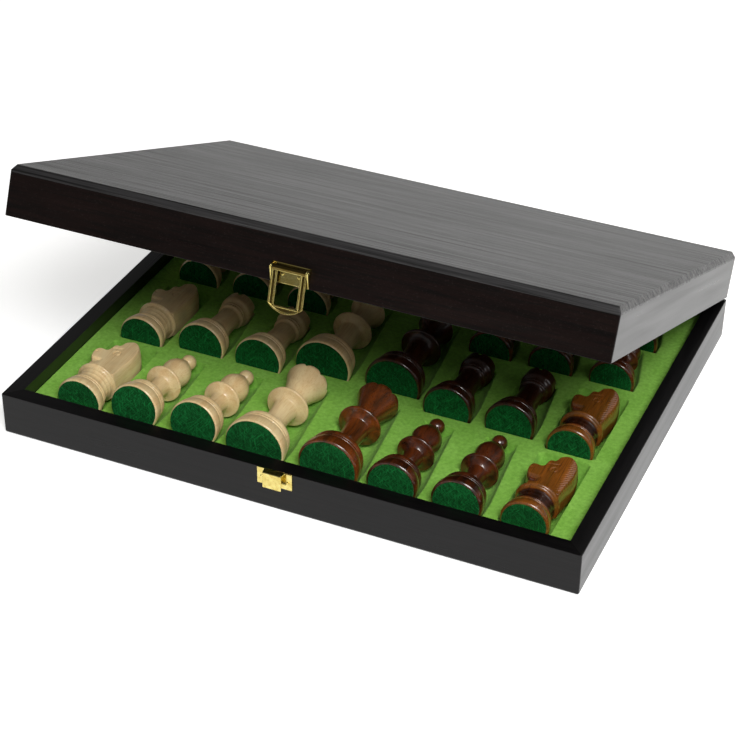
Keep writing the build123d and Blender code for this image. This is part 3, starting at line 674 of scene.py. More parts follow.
class Finishes:
    """Every material of the box, made once."""

    def __init__(self) -> None:
        """Makes the materials."""
        black, pore = shade(14, 13, 14), shade(6, 5, 6)
        brown, brown_pore = shade(20, 10, 8), shade(8, 5, 4)
        along, across, tilt = Grain.ALONG, Grain.ACROSS, LID_REST_ANGLE
        self.base_long = StainedBoard("base_rail_stain_long", black, pore, along, shine=0.26).make()
        self.base_short = StainedBoard("base_rail_stain_short", black, pore, across, shine=0.5).make()
        self.lid_long = StainedBoard(
            "lid_rail_stain_long", brown, brown_pore, along, tilt, shine=0.2, speckle=0.25
        ).make()
        self.lid_short = StainedBoard("lid_rail_stain_short", black, pore, across, tilt, shine=0.56).make()
        self.veneer = OpenVeneer("lid_veneer", shade(44, 43, 44), shade(14, 13, 13), tilt).make()
        self.panel = StainedBoard("bottom_panel_stain", shade(40, 34, 30), pore, along, gloss=0.6).make()
        self.flock = Flock("tray_flock_green", shade(146, 202, 88), shade(132, 190, 74)).make()
        self.felt = BaseFelt("base_felt_green", shade(0, 58, 18), shade(26, 140, 66)).make()
        self.light = TurnedWood(
            "boxwood", shade(238, 210, 158), shade(224, 186, 130), shade(228, 210, 186),
            shade(246, 226, 178), shade(200, 168, 118), 0.36, 0.25, 0.5,
        ).make()
        self.dark = TurnedWood(
            "dark_lacquered_wood", shade(118, 54, 18), shade(54, 24, 10), shade(90, 76, 64),
            shade(180, 118, 40), shade(16, 9, 6), 0.26, 0.55, 0.7,
        ).make()
        pale, worn = shade(236, 220, 142), shade(214, 192, 108)
        self.brass = PolishedBrass("polished_brass", pale, worn, 0.14).make()
        # brass for the loop, with painted shade darkening the flat floor of its groove
        self.shaded_loop_brass = PolishedBrass("brass_with_painted_shade", pale, worn, 0.14, 0.94, 0.22).make()


def dress(material: Material, *nodes: str) -> None:
    """Gives CAD nodes a material."""
    for node in nodes:
        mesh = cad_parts[node].data
        mesh.materials.clear()
        mesh.materials.append(material)


# --- lying chessmen ---
class Colour(Enum):
    """The two sides of the set."""

    LIGHT = "light"
    DARK = "dark"


@dataclass(frozen=True)
class ManSizes:
    """Sizes of one kind of man in mm, heights counted along its axis from the felt."""

    length: float
    base_radius: float
    band: float
    second_band: float
    shoulder: float
    waist_radius: float
    waist_height: float
    neck_radius: float
    collar_radius: float
    collar_height: float
    head_radius: float
    lean: float
    tones: tuple[float, float]


class Kind(Enum):
    """The six kinds of man."""

    KING = ManSizes(95.0, 20.0, 8.8, 2.8, 5.2, 8.0, 30.0, 8.8, 14.5, 50.5, 12.5, 0.0, (0.3, -0.42))
    QUEEN = ManSizes(87.0, 20.5, 8.8, 2.8, 5.2, 7.6, 30.0, 8.4, 14.8, 50.5, 14.2, 0.0, (0.5, 0.1))
    BISHOP = ManSizes(81.5, 16.9, 8.4, 2.6, 5.4, 6.2, 28.0, 6.8, 12.8, 41.0, 10.1, 3.0, (0.25, -0.26))
    ROOK = ManSizes(62.0, 17.2, 8.0, 2.6, 5.0, 9.2, 25.0, 8.0, 9.8, 46.5, 11.5, 3.0, (0.3, -0.45))
    KNIGHT = ManSizes(66.5, 16.0, 7.0, 2.2, 3.2, 12.0, 17.6, 12.6, 14.6, 24.6, 14.0, 0.0, (0.45, 0.55))
    PAWN = ManSizes(48.0, 15.8, 6.2, 2.2, 3.8, 5.4, 21.0, 6.0, 10.0, 29.5, 8.2, 0.0, (0.35, -0.1))


@dataclass
class Man:
    """One chessman lying in its nest, found from its CAD node, with sizes in mm and degrees."""

    node: str
    felt: float = 0.8
    bevel: float = 0.8
    step: float = 0.9
    crease: float = 0.35
    groove: float = 0.6
    collar_half: float = 1.3
    high_lean: float = 7.5
    edge: float = 0.2
    ring_step: float = 2.2
    slit_ring_step: float = 0.4
    rim_drop: float = 4.5
    lobe_dip: float = 3.8
    well: float = 4.0
    wall: float = 3.4
    slot_depth: float = 3.0
    slot_half: float = 1.9
    slot_ease: float = 0.5
    slit_width: float = 1.2
    slit_angle: float = 35.0
    slit_drop: float = 17.6
    slit_ease: float = 0.15
    stain_ease: float = 1.5
    # tone of the stained waist, also given to the painted shade of the throat
    stain_and_throat_shade_tone: float = -0.5
    throat_drop: float = 31.6
    throat_reach: float = 2.0
    throat_edge: float = -4.5
    throat_fade: float = 2.5
    around: int = 80
    fine_around: int = 144

    @property
    def kind(self) -> Kind:
        """The man's kind, from its node's name."""
        return Kind[self.node.split("_")[1].upper()]

    @property
    def colour(self) -> Colour:
        """The man's side, from its node's name."""
        return Colour(self.node.split("_")[0])

    @property
    def towards(self) -> np.ndarray:
        """Direction from base to head: to the back, or inwards for the two crosswise pawns."""
        if self.node.endswith(("pawn_7", "pawn_8")):
            return np.array([1.0 if self.colour is Colour.LIGHT else -1.0, 0, 0])
        return np.array([0.0, 1.0, 0.0])

    @property
    def lean(self) -> float:
        """Angle in radians by which the man's axis dips to its head. Light bishops lie high on their feet."""
        high = self.kind is Kind.BISHOP and self.colour is Colour.LIGHT
        return math.radians(self.high_lean if high else self.kind.value.lean)

    @property
    def axes(self) -> np.ndarray:
        """The man's own X, its axis and its Z, as rows in the row's frame."""
        level, up = self.towards, np.array([0.0, 0.0, 1.0])
        dip, run = math.sin(self.lean), math.cos(self.lean)
        return np.stack([np.cross(level, up), level * run - up * dip, level * dip + up * run])

    @property
    def origin(self) -> np.ndarray:
        """Middle of the felt's outer face, in metres, from the corners of the CAD node."""
        low, high = (np.array(c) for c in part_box(self.node))
        r, dip, run = self.kind.value.base_radius, math.sin(self.lean), math.cos(self.lean)
        level = self.towards
        end = low if level.sum() > 0 else high
        ahead = (self.felt * run - (r - self.bevel) * dip) * MM
        place = np.where(np.abs(level) > 0.5, end - level * ahead, low + r * MM)
        place[2] = high[2] - (r * run - (self.felt + self.bevel) * dip) * MM
        return place

    def foot(self) -> Turning:
        """Felt seat, three bands with a cut line between them, waist and collar."""
        s = self.kind.value
        r, z = s.base_radius, self.felt
        near, upper = r - self.step - self.crease, z + s.band + s.second_band
        under = s.collar_height - self.collar_half
        line = Turning(0.0, z).to(r - self.bevel, z).to(r, z + self.bevel)
        line.arc(near, z + s.band, self.bevel / 2).cut(near - self.groove, z + s.band, near - 0.2)
        line.arc(near - self.step, upper, self.bevel / 2)
        third = near - self.step - self.crease
        line.cut(third - self.groove, upper, third).arc(r - 4 * self.step, upper + s.shoulder, self.bevel)
        line.arc(s.waist_radius, s.waist_height, (s.waist_radius - r) / 6)
        line.arc(s.neck_radius, under - 2 * self.collar_half, -self.bevel / 2)
        collar = s.collar_radius - self.collar_half
        line.arc(collar, under, -self.bevel / 2)
        return line.arc(collar, s.collar_height + self.collar_half, self.collar_half)

    def outline(self) -> np.ndarray:
        """The man's half outline in mm, from foot to top."""
        s = self.kind.value
        neck, head, top, line = s.neck_radius, s.head_radius, s.length, self.foot()
        h = s.collar_height + self.collar_half
        if self.kind in (Kind.QUEEN, Kind.KING):
            line.to(neck + 1.6, h + 1.0).arc(neck + 1.2, h + 3.8, self.bevel)
        if self.kind is Kind.PAWN:
            line.to(neck, top - head - math.sqrt(head**2 - neck**2)).dome(top)
        elif self.kind is Kind.BISHOP:
            ball, ring = 5.3, 6.2
            shoulder = top - 2 * ball
            line.to(ring + 2.4, h + 0.8).arc(ring + 2.0, h + 2.2, self.bevel / 2)
            line.arc(ring + 1.4, h + 3.6, self.bevel / 2).to(ring + 0.6, h + 4.4)
            line.curve((head, h + 15.5), (head * 0.72, shoulder - 4.5), (ball * 0.6, shoulder + ball * 0.2))
            line.dome(top)
        elif self.kind is Kind.QUEEN:
            rim = top - self.rim_drop
            line.to(neck - 1.2, h + 5.0)
            line.curve((neck - 0.4, h + 9.0), (head - 2.6, rim - 11.0), (head, rim - 4.2))
            line.arc(head - 1.0, rim, self.bevel).arc(head / 2, rim - 0.8, self.bevel).dome(top)
        elif self.kind is Kind.KING:
            crown = top - KingCross.height
            line.to(neck - 1.0, h + 5.0).arc(head, crown - 8.0, -2.0)
            line.arc(head - 1.2, crown - 5.0, self.bevel).dome(crown + 0.5)
        elif self.kind is Kind.ROOK:
            line.to(neck + 0.8, h + 0.4).arc(neck + 0.8, h + 1.8, self.bevel)
            line.arc(head - 0.6, h + 4.8, -self.bevel / 2).to(head, h + 5.8).to(head - 0.3, top)
            line.to(head - self.wall, top).to(head - self.wall, top - self.well).to(0.0, top - self.well)
        else:
            line.to(0.0, h)
        return line.outline(self.edge, self.slit_ring_step if self.kind is Kind.BISHOP else self.ring_step)

    def turned(self) -> np.ndarray:
        """Surface of revolution: radius times cosine and sine round the axis, height along it."""
        line = self.outline()
        count = self.fine_around if self.kind in (Kind.BISHOP, Kind.QUEEN) else self.around
        angle = np.linspace(0, 2 * math.pi, count, endpoint=False)
        radius, height = line[1:-1, 0, None], line[1:-1, 1, None]
        ring = np.ones_like(angle)
        return np.stack([radius * np.cos(angle), height * ring, radius * np.sin(angle)], axis=-1)

    def crowned(self, points: np.ndarray) -> np.ndarray:
        """Cuts a queen's coronet, a rook's slots or a bishop's slit into the turned surface.

        The height is held under a limit that dips at even angles round the axis:
        a sharp dip between a queen's round lobes, a square one for each slot of a rook.
        A bishop's points near the slit's plane slide inwards along it to its end.

        Args:
            points: the turned surface in the man's own axes, in mm.

        Returns:
            The surface with its notches.
        """
        s = self.kind.value
        x, y, z = (points[..., k] for k in range(3))
        radius = np.hypot(x, z)
        if self.kind is Kind.QUEEN:
            dip = self.lobe_dip * (1 - np.abs(np.sin(4 * np.arctan2(z, x))))
            limit = np.where(radius > s.head_radius * 0.55, s.length - self.rim_drop - dip, s.length)
            y[:] = np.minimum(y, limit)
        if self.kind is Kind.ROOK:
            near = np.minimum(np.abs(x), np.abs(z))
            cut = np.clip((self.slot_half - near) / self.slot_ease, 0, 1)
            tall = radius > s.head_radius - self.wall - 0.2
            y[:] = np.where(tall, np.minimum(y, s.length - self.slot_depth * cut), y)
        if self.kind is Kind.BISHOP:
            sink, run = math.sin(math.radians(self.slit_angle)), math.cos(math.radians(self.slit_angle))
            off = (x - s.head_radius) * sink + (y - s.length + self.slit_drop) * run
            cut = np.clip((self.slit_width / 2 + self.slit_ease - np.abs(off)) / (2 * self.slit_ease), 0, 1)
            depth = np.maximum(x / run - s.head_radius * (1 / run - 0.75), 0) * cut
            x -= depth * run
            y += depth * sink
        return points

    def in_place(self, points: np.ndarray) -> np.ndarray:
        """Points from the man's own axes in mm to the row's frame in metres."""
        return self.origin + points @ self.axes * MM

    def parts(self) -> list[Surface]:
        """Closed surfaces that make up the man, in its own axes."""
        made = [closed_tube(self.crowned(self.turned()))]
        if self.kind is Kind.KING:
            made.append(KingCross(self.kind.value.length).surface())
        if self.kind is Kind.KNIGHT:
            made.append(HorseHead(self.kind.value, self.colour).surface())
        return made

    def tone(self, local: np.ndarray) -> np.ndarray:
        """Lightness of the wood at each point, with a dark knight's waist stained and its throat darkened as
        painted shade.

        The stained waist's share rises and falls over its ease at both ends. The throat's painted shade is a
        bell about the line under the jaw.

        Args:
            local: points in the man's own axes, in mm.

        Returns:
            A value for each point, below 0 for stained wood and for the throat's painted shade, and above 0
            for pale.
        """
        s = self.kind.value
        plain = s.tones[0 if self.colour is Colour.LIGHT else 1]
        if self.kind is not Kind.KNIGHT or self.colour is Colour.LIGHT:
            return np.full(len(local), plain)
        x, y = local[:, 0], local[:, 1]
        low, high = self.felt + s.band + s.second_band, s.collar_height - 2 * self.collar_half
        waist = np.clip((y - low) / self.stain_ease, 0, 1) * np.clip((high - y) / self.stain_ease, 0, 1)
        jaw = np.exp(-0.5 * ((y - s.length + self.throat_drop) / self.throat_reach) ** 2)
        # painted shade: a dark band under the jaw, where shade falls beneath the muzzle
        throat = jaw * np.clip((self.throat_edge - x) / self.throat_fade, 0, 1)
        return plain - (plain - self.stain_and_throat_shade_tone) * np.maximum(waist, throat)

    def build(self, finishes: Finishes, seed: int) -> bpy.types.Object:
        """Makes the man, dresses it and lets it stand for its CAD node.

        Args:
            finishes: the box's materials.
            seed: number that shifts the wood's figure from man to man.

        Returns:
            The new object.
        """
        own, faces, count = [], [], 0
        for points, groups in self.parts():
            own.append(points)
            faces += [group + count for group in groups]
            count += len(points)
        local = np.concatenate(own)
        shift = np.random.default_rng(seed).uniform(-1, 1, 3)
        man = make_object(
            self.node.replace("_", "_man_", 1), self.in_place(local), faces,
            attributes={"wood_place": local * MM + shift, "tone": self.tone(local)},
        )
        man.data.materials.append(finishes.light if self.colour is Colour.LIGHT else finishes.dark)
        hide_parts(self.node)
        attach(man, "case")
        return man


def rounded_rim(ring: np.ndarray, turn: float, longest: float, ease: float = 0.25) -> np.ndarray:
    """Closed outline with its corners eased, spaced for a smooth surface.

    Args:
        ring: the outline's points, the first one repeated at the end.
        turn: largest turn from step to step before the corners are eased, in radians.
        longest: longest step of the result, in mm.
        ease: how far the corners are rounded, in mm.

    Returns:
        The points, without a repeated one.
    """
    finest, sharpest = 2 * ease, 0.25
    return even_out(soften(even_out(ring, finest, turn), ease, closed=True), longest, sharpest)[:-1]


def pillow(
    rim: np.ndarray, spine: np.ndarray, half: float, rounding: float, rows: int
) -> tuple[np.ndarray, np.ndarray]:
    """Face of a flat carved form: each rim point joined to its spine point, swelling up from the rim.

    The height over the middle plane is the half thickness times the root of
    1 - (1 - d / rounding) squared, where d is the distance in from the rim,
    held at the half thickness once d passes the rounding.

    Args:
        rim: closed outline, of shape around by 2.
        spine: a point inside for each rim point, of the same shape.
        half: half the thickness.
        rounding: how far in from the rim the edge is rounded.
        rows: number of steps from rim to spine.

    Returns:
        Plan points of shape rows by around by 2, and their heights.
    """
    edge_rows, widest_edge = 9, 0.9
    reach = np.linalg.norm(rim - spine, axis=1)
    near = np.minimum(rounding / reach, widest_edge)
    edge = (1 - np.cos(np.linspace(0, math.pi / 2, edge_rows)))[:, None] * near
    flat = near + (1 - near) * np.linspace(0, 1, rows)[1:, None]
    share = np.concatenate([edge, flat])[..., None]
    plan = rim * (1 - share) + spine * share
    inward = np.minimum(share[..., 0] * reach / rounding, 1.0)
    return plan, half * np.sqrt(np.maximum(1 - (1 - inward) ** 2, 0))


def two_sided(plan: np.ndarray, height: np.ndarray) -> Surface:
    """Closes a pillow face and its mirror image at the rim, with both spines closed to their middles.

    Args:
        plan: plan points of the face, of shape rows by around by 2.
        height: their heights over the middle plane.

    Returns:
        The closed surface.
    """
    front = np.stack([plan[..., 0], plan[..., 1], height], axis=-1)
    back = np.stack([plan[..., 0], plan[..., 1], -height], axis=-1)
    return closed_tube(np.concatenate([front[::-1], back[1:]]))


@dataclass(frozen=True)
class KingCross:
    """The cross on a king, with flared arms. Its spine is its rim shrunk by two shares."""

    length: float
    height: float = 11.0
    width: float = 9.0
    arm: float = 3.4
    thickness: float = 4.4
    rounding: float = 0.7
    crossing: float = 0.42
    flare: float = 1.15
    top_flare: float = 1.2
    spine: tuple[float, float] = (0.15, 0.5)
    rows: int = 4

    def surface(self) -> Surface:
        """Closed surface of the cross in the man's axes: a pillow about the cross's middle."""
        top, a, w = self.length, self.arm / 2, self.width / 2
        low, middle, flare = top - self.height, top - self.height * self.crossing, a * self.flare
        arm = [(w, middle - flare), (w, middle + flare)]
        right = [(a, low), (a, middle - a), *arm, (a, middle + a), (a * self.top_flare, top)]
        ring = np.array(right + [(-x, y) for x, y in right[::-1]] + right[:1], float)
        rim = rounded_rim(ring, 1.0, 0.3)
        spine = np.stack([rim[:, 0] * self.spine[0], middle + (rim[:, 1] - middle) * self.spine[1]], axis=1)
        return two_sided(*pillow(rim, spine, self.thickness / 2, self.rounding, self.rows))


@dataclass(frozen=True)
class HorseHead:
    """The flat-sided carved head of a knight, muzzle towards its own -X.

    The profile's points are its X and its depth under the head's top, from the
    throat over muzzle, nose, brow and ear down to the mane. The spine is a curve
    from a start over the collar, with its run to the side and what it stays short.
    """

    sizes: ManSizes
    colour: Colour
    half: float = 9.5
    rounding: float = 1.6
    lock: float = 2.6
    rows: int = 26
    spine_start: tuple[float, float] = (1.2, 3)
    spine_run: tuple[float, float] = (3.6, 11)
    spine_pull: float = 0.04
    profile: tuple = (
        (-10.4, 33.0), (-11.6, 29.4), (-13.4, 26.5), (-14.3, 22.5), (-14.1, 18.6), (-12.6, 16.9),
        (-10.4, 16.7), (-7.8, 17.1), (-6.0, 15.6), (-5.2, 12.8), (-4.6, 9.8), (-3.2, 8.6), (-1.2, 8.4),
        (0.2, 6.4), (1.2, 3.4), (4.0, 1.4), (7.6, 0.6), (11.6, 3.0), (15.0, 8.6), (16.0, 16.0), (15.8, 22.0),
    )

    def rim(self) -> np.ndarray:
        """Closed outline of the head, from the chest up over the nose and down the mane."""
        top, foot, wide = self.sizes.length, self.sizes.collar_height, self.sizes.head_radius
        face = [(x, top - drop) for x, drop in self.profile]
        line = flowing([(-0.7 * wide, foot), *face, (15.0, foot + 14.0), (wide - 0.4, foot)])
        return rounded_rim(np.concatenate([line, line[:1]]), 0.5, 0.42)

    def carved(self, plan: np.ndarray, rise: np.ndarray) -> np.ndarray:
        """Heights of the face with the throat, mouth, nostril, eye, brow and mane cut into it.

        Each cut is a bell-shaped dip about its own line or spot, and the mane is a
        row of waves that run in from the back of the neck and fade towards the cheek.

        Args:
            plan: plan points of the face.
            rise: heights of the plain face.

        Returns:
            The carved heights.
        """
        x, y = plan[..., 0], plan[..., 1]
        top = self.sizes.length
        inside = np.clip(rise / self.half, 0, 1)

        def bell(distance: np.ndarray, reach: float) -> np.ndarray:
            """Dip that fades with distance."""
            return np.exp(-0.5 * (distance / reach) ** 2)

        def cut(start: tuple, stop: tuple, reach: float) -> np.ndarray:
            """Dip along a straight cut between two points."""
            ax, ay = start
            dx, dy = stop[0] - ax, stop[1] - ay
            t = np.clip(((x - ax) * dx + (y - ay) * dy) / (dx * dx + dy * dy), 0, 1)
            return bell(np.hypot(x - ax - t * dx, y - ay - t * dy), reach)

        dark = self.colour is Colour.DARK
        throat = (3.2 if dark else 1.0) * cut((-12.5, top - 31.5), (-6.5, top - 31.0), 1.6)
        mouth = 1.3 * cut((-13.5, top - 28.4), (-4.4, top - 28.6), 0.6)
        nostril = 0.8 * bell(np.hypot(x + 11.6, y - top + 21.0), 0.6)
        eye = 0.7 * bell(np.hypot(x - 2.4, y - top + 18.2) - 2.2, 0.4)
        brow = 0.6 * cut((-3.0, top - 13.6), (4.0, top - 12.0), 0.4)
        fade = np.clip((x - 8.0) / 4.5, 0, 1) * np.clip((y - self.sizes.collar_height - 1) / 4, 0, 1)
        waves = (0.5 + 0.5 * np.sin((y - 0.9 * x) * 2 * math.pi / self.lock)) ** 2
        mane = (1.1 if dark else 0.15) * fade * waves
        return rise - inside * (throat + mouth + nostril + eye + brow + mane)

    def surface(self) -> Surface:
        """Closed surface of the head in the man's axes."""
        rim = self.rim()
        top, foot = self.sizes.length, self.sizes.collar_height
        share = np.clip((rim[:, 1] - foot) / (top - foot), 0, 1)
        (start, up), (run, short) = self.spine_start, self.spine_run
        middle = np.stack([start + run * share**2, foot + up + (top - foot - short) * share], axis=1)
        spine = middle + (rim - middle) * self.spine_pull
        plan, rise = pillow(rim, spine, self.half, self.rounding, self.rows)
        return two_sided(plan, self.carved(plan, rise))


# --- the tray ---
class Side(Enum):
    """The tray's halves, cut at its flat middle line."""

    LEFT = -1
    RIGHT = 1


@dataclass
class NestTray:
    """Flocked tray: a height over each point of a grid, with soft lips round the nests."""

    men: list[Man]
    clearance: float = 0.3
    lip: float = 1.8
    wall_slope: float = 9.0
    end_slope: float = 27.0
    outside: float = 180.0
    passes: int = 3
    knight_side: float = 1.2
    knight_round: float = 4.0
    room_front: float = 12.0
    room_back: float = 8.0
    columns: int = 228
    probes: int = 6000
    row_spacing: tuple = ((0.0, 0.38), (1.2, 0.5), (3.0, 1.25))

    def ends(self, man: Man, top: float) -> tuple[float, float]:
        """Where a man's nest starts and stops at the tray's top, in mm from its felt's middle.

        Args:
            man: the man that lies there.
            top: height of the tray's flat top in mm.

        Returns:
            Both level distances, towards the man's head.
        """
        s = man.kind.value
        room = 0.0
        if man.kind is Kind.KNIGHT:
            room = self.room_front if man.node.endswith("1") else self.room_back
        tip = (top - man.origin[2] / MM) * math.sin(man.lean)
        spread = math.cos(man.lean)
        return (tip - self.clearance) / spread, (tip + s.length + room + self.clearance) / spread

    def lines(self, side: Side, low: np.ndarray, high: np.ndarray) -> tuple[np.ndarray, np.ndarray]:
        """Grid lines of one half, closer where a nest's end wall crosses them.

        Args:
            side: which half of the tray.
            low: the tray's lowest corner in mm.
            high: the tray's highest corner in mm.

        Returns:
            The x lines and the y lines, in mm.
        """
        reach = (low[0], 0.0) if side is Side.LEFT else (0.0, high[0])
        x = np.linspace(*reach, self.columns)
        walls = []
        for man in self.men:
            if abs(man.towards[1]) > 0.5:
                walls += [man.origin[1] / MM + e for e in self.ends(man, high[2])]
        walls = np.unique(np.round(walls, 1))
        y = np.linspace(low[1], high[1], self.probes)
        nearest = np.abs(y[:, None] - walls[None]).min(axis=1)
        step = np.interp(nearest, *zip(*self.row_spacing))
        grown = np.concatenate([[0.0], np.cumsum(np.diff(y) / step[1:])])
        return x, np.interp(np.linspace(0, grown[-1], int(grown[-1])), grown, y)

    def nest(self, man: Man, x: np.ndarray, y: np.ndarray, top: float) -> np.ndarray:
        """Height of one nest's surface over points of the tray.

        A turned man's nest lies under its axis by the root of the envelope's radius
        squared less the distance across squared. The place along a leaning axis
        depends on that depth, so it is worked out in a few passes. A knight's nest
        is a flat floor within a rounded rectangle. Steep walls rise outside both.

        Args:
            man: the man that lies there.
            x: points' x in mm.
            y: points' y in mm.
            top: height of the tray's flat top in mm.

        Returns:
            The nest's height, far above the top where there is no nest.
        """
        s = man.kind.value
        origin = man.origin / MM
        ahead = man.towards
        along = (x - origin[0]) * ahead[0] + (y - origin[1]) * ahead[1]
        across = (x - origin[0]) * ahead[1] - (y - origin[1]) * ahead[0]
        start, stop = self.ends(man, top)
        wide, narrow = s.base_radius + self.clearance, s.head_radius + self.clearance
        if man.kind is Kind.KNIGHT:
            half_long, half_wide = (stop - start) / 2, s.base_radius + self.knight_side
            r = self.knight_round
            dx = np.abs(across) - half_wide + r
            dy = np.abs(along - (start + stop) / 2) - half_long + r
            out = np.hypot(np.maximum(dx, 0), np.maximum(dy, 0)) + np.minimum(np.maximum(dx, dy), 0) - r
            return np.maximum(origin[2] - wide, top + out * self.wall_slope)
        ring = man.felt + s.band + s.second_band + s.shoulder
        dip, run = math.sin(man.lean), math.cos(man.lean)
        depth = np.zeros_like(along)
        for _ in range(self.passes):
            axial = (along + depth * dip) / run
            radius = np.interp(axial, [ring, s.length + self.clearance], [wide, narrow])
            inside = radius**2 - across**2
            depth = np.sqrt(np.maximum(inside, 0))
        trough = origin[2] - (along * dip + depth) / run
        trough = np.where(inside > 0, trough, top + self.outside)
        ends = top + np.maximum(start - along, along - stop) * self.end_slope
        return np.maximum(trough, ends)

    def build(self, side: Side, finishes: Finishes) -> bpy.types.Object:
        """Makes one half of the tray.

        Nests meet the flat top through a rounded lip: the lower of the two heights,
        less a quarter of the lip times the square of how close they are to each other.

        Args:
            side: which half to make.
            finishes: the box's materials.

        Returns:
            The new object.
        """
        low, high = (np.array(c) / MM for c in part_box("nest_tray"))
        top, floor = high[2], low[2]
        xs, ys = self.lines(side, low, high)
        x, y = np.meshgrid(xs, ys, indexing="ij")
        z = np.full_like(x, top)
        for man in self.men:
            if man.origin[0] * side.value > 0:
                nest = self.nest(man, x, y, top)
                close = np.clip(1 - np.abs(z - nest) / self.lip, 0, None)
                z = np.minimum(z, nest) - self.lip / 4 * close**2
        rows, columns = x.shape
        upper = np.stack([x, y, z], axis=-1).reshape(-1, 3)
        edge = np.concatenate([
            np.arange(columns), np.arange(1, rows) * columns + columns - 1,
            (rows - 1) * columns + np.arange(columns - 2, -1, -1), np.arange(rows - 2, 0, -1) * columns,
        ])
        skirt = upper[edge].copy()
        skirt[:, 2] = floor
        middle = np.array([[xs.mean(), ys.mean(), floor]])
        points = np.concatenate([upper, skirt, middle]) * MM
        count = len(edge)
        step = np.arange(count)
        after = (step + 1) % count
        base = rows * columns
        wall = np.stack([edge, edge[after], base + after, base + step], axis=1)
        under = np.stack([base + step, base + after, np.full(count, base + count)], axis=1)
        faces = [grid_quads(rows, columns, False)[:, ::-1], wall[:, ::-1], under[:, ::-1]]
        half = make_object(f"nest_tray_{side.name.lower()}", points, faces, crease=60)
        half.data.materials.append(finishes.flock)
        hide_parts("nest_tray")
        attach(half, "case")
        return half


# --- case, lid and brasswork ---
@dataclass
class Case:
    """The base with its tray and men."""

    finishes: Finishes

    def build(self) -> None:
        """Dresses the rails and panel, and makes the tray and the men."""
        f = self.finishes
        dress(f.base_long, "base_front_rail", "base_back_rail")
        dress(f.base_short, "base_left_rail", "base_right_rail")
        dress(f.panel, "base_bottom_panel")
        dress(f.felt, "light_base_felts", "dark_base_felts")
        names = [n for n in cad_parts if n.startswith(("light_", "dark_")) and not n.endswith("felts")]
        men = [Man(name) for name in sorted(names)]
        for seed, man in enumerate(men):
            man.build(f, seed)
        log.info("men: %d", len(men))
        for side in Side:
            tray = NestTray(men).build(side, f)
            log.info("%s: %d faces", tray.name, len(tray.data.polygons))


@dataclass
class Lid:
    """The lid's rails and its veneered top."""

    finishes: Finishes

    def build(self) -> None:
        """Dresses the lid's boards."""
        f = self.finishes
        dress(f.lid_long, "lid_front_rail", "lid_back_rail")
        dress(f.lid_short, "lid_left_rail", "lid_right_rail")
        dress(f.veneer, "lid_top_panel")
        log.info("lid dressed")


@dataclass
class Brasswork:
    """Hinges, keeper, latch plate and loop."""

    finishes: Finishes

    def build(self) -> None:
        """Dresses the brass pieces."""
        brass = [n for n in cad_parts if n.startswith(("hinge_", "keeper_", "latch_"))]
        dress(self.finishes.brass, *brass)
        # the loop takes the brass with painted shade along its groove
        dress(self.finishes.shaded_loop_brass, "latch_loop")
        log.info("brass pieces: %d", len(brass))


# --- the studio ---
@dataclass(frozen=True)
class Softbox:
    """A rectangular lamp aimed at the box."""

    name: str
    place: Triple
    width: float
    height: float
    watts: float
    target: Triple = (0, 0, 0.06)

    def light(self) -> None:
        """Hangs the lamp."""
        lamp = bpy.data.lights.new(self.name, "AREA")
        lamp.shape = "RECTANGLE"
        lamp.size, lamp.size_y = self.width, self.height
        lamp.energy = self.watts
        stand = bpy.data.objects.new(self.name, lamp)
        stand.location = self.place
        aim = Vector(self.target) - Vector(self.place)
        stand.rotation_euler = aim.to_track_quat("-Z", "Y").to_euler()
        bpy.context.scene.collection.objects.link(stand)


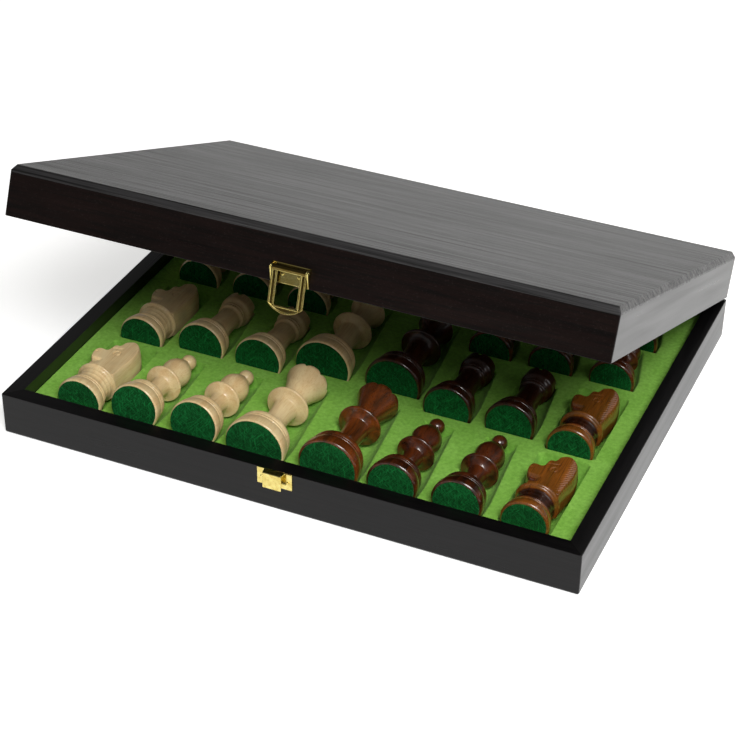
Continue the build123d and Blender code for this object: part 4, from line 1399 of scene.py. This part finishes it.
@dataclass(frozen=True)
class Studio:
    """Pale floor, soft lamps, plain surroundings and the camera, in metres and degrees, its lens in mm."""

    camera_place: Triple = (0.454870, -1.065166, 0.791354)
    looking: Triple = (-0.33003951, 0.76103641, -0.55847784)
    roll: float = 0.777
    lens: float = 99.735
    sensor: float = 36.0
    floor_half: float = 5.0
    floor_glow: float = 0.58
    paper: tuple = (0.86, 0.86, 0.86, 1)
    velvet: tuple = (0.01, 0.01, 0.01, 1)
    screen_y: float = -2.6
    screen_half: float = 3.5
    screen_height: float = 1.7
    screen_glow: float = 0.15
    fill_colour: tuple = (1.0, 0.92, 0.62, 1)
    fill: float = 0.065
    mirrored: float = 0.1
    lamps: tuple[Softbox, ...] = (
        Softbox("key_softbox", (1.0, -1.4, 1.98), 1.2, 0.85, 52),
        Softbox("side_softbox", (1.8, -0.3, 1.3), 1.0, 1.4, 5),
        Softbox("back_softbox", (0.2, 1.9, 1.6), 1.8, 1.0, 14),
    )

    def camera(self) -> None:
        """Sets up the camera at the photograph's view."""
        data = bpy.data.cameras.new("photo_view")
        data.lens, data.sensor_width, data.sensor_fit = self.lens, self.sensor, "HORIZONTAL"
        data.clip_start, data.clip_end = 0.05, 50
        eye = bpy.data.objects.new("photo_view", data)
        level = Vector(self.looking).to_track_quat("-Z", "Y")
        eye.rotation_mode = "QUATERNION"
        eye.rotation_quaternion = level @ Quaternion((0, 0, 1), math.radians(self.roll))
        eye.location = self.camera_place
        bpy.context.scene.collection.objects.link(eye)
        bpy.context.scene.camera = eye

    def panel(self, name: str, corners: list, sheet: NodeSheet) -> bpy.types.Object:
        """Makes a flat four-cornered piece of the studio.

        Args:
            name: the piece's name.
            corners: its corners in metres, in order.
            sheet: the sheet that holds its material.

        Returns:
            The new object.
        """
        made = make_object(name, np.array(corners, float), [np.array([[0, 1, 2, 3]])], closed=False)
        made.data.materials.append(sheet.material)
        return made

    def floor(self) -> None:
        """Lays a wide pale floor, which looks white but keeps the box's shadow."""
        sheet = NodeSheet("floor_paper")
        path = sheet.add("ShaderNodeLightPath").outputs
        seen = sheet.maths(path["Is Camera Ray"], path["Is Glossy Ray"], "MAXIMUM")
        glow = sheet.maths(seen, self.floor_glow, "MULTIPLY")
        sheet.feed(sheet.shader, Base_Color=self.paper, Roughness=0.9)
        sheet.feed(sheet.shader, Emission_Color=WHITE, Emission_Strength=glow)
        h = self.floor_half
        floor = self.panel("studio_floor", [(-h, -h, 0), (h, -h, 0), (h, h, 0), (-h, h, 0)], sheet)

    def screen(self) -> None:
        """Stands a dark grey screen behind the camera, for the lid's front and the latch to reflect."""
        sheet = NodeSheet("black_velvet")
        sheet.feed(sheet.shader, Base_Color=self.velvet, Roughness=0.95, Specular_IOR_Level=0.1)
        sheet.feed(sheet.shader, Emission_Color=WHITE, Emission_Strength=self.screen_glow)
        y, h, z = self.screen_y, self.screen_half, self.screen_height
        screen = self.panel("black_screen", [(-h, y, 0), (h, y, 0), (h, y, z), (-h, y, z)], sheet)
        screen.visible_camera = False

    def surroundings(self) -> None:
        """Sets an air that is white to the eye, grey in reflections and a dim pale yellow as fill light."""
        world = bpy.data.worlds.new("studio_air")
        world.use_nodes = True
        tree = world.node_tree
        tree.nodes.clear()
        path, last = tree.nodes.new("ShaderNodeLightPath"), None
        layers = (
            ("", self.fill_colour, self.fill),
            ("Is Glossy Ray", WHITE, self.mirrored),
            ("Is Camera Ray", WHITE, 1.0),
        )
        for ray, colour, strength in layers:
            air = tree.nodes.new("ShaderNodeBackground")
            air.inputs["Color"].default_value = colour
            air.inputs["Strength"].default_value = strength
            if last:
                choice = tree.nodes.new("ShaderNodeMixShader")
                sources = (path.outputs[ray], last.outputs[0], air.outputs[0])
                for source, socket in zip(sources, choice.inputs):
                    tree.links.new(source, socket)
                air = choice
            last = air
        output = tree.nodes.new("ShaderNodeOutputWorld")
        tree.links.new(last.outputs[0], output.inputs["Surface"])
        bpy.context.scene.world = world

    def build(self) -> None:
        """Sets the whole studio."""
        self.camera()
        self.floor()
        self.screen()
        self.surroundings()
        for lamp in self.lamps:
            lamp.light()
        bpy.context.scene.view_settings.view_transform = "Standard"
        log.info("studio set")


def main() -> None:
    """Builds the box and its studio, in order."""
    logging.basicConfig(level=logging.INFO, format="%(name)s: %(message)s")
    Studio().build()
    finishes = Finishes()
    Case(finishes).build()
    Lid(finishes).build()
    Brasswork(finishes).build()


if __name__ == "__main__":
    main()
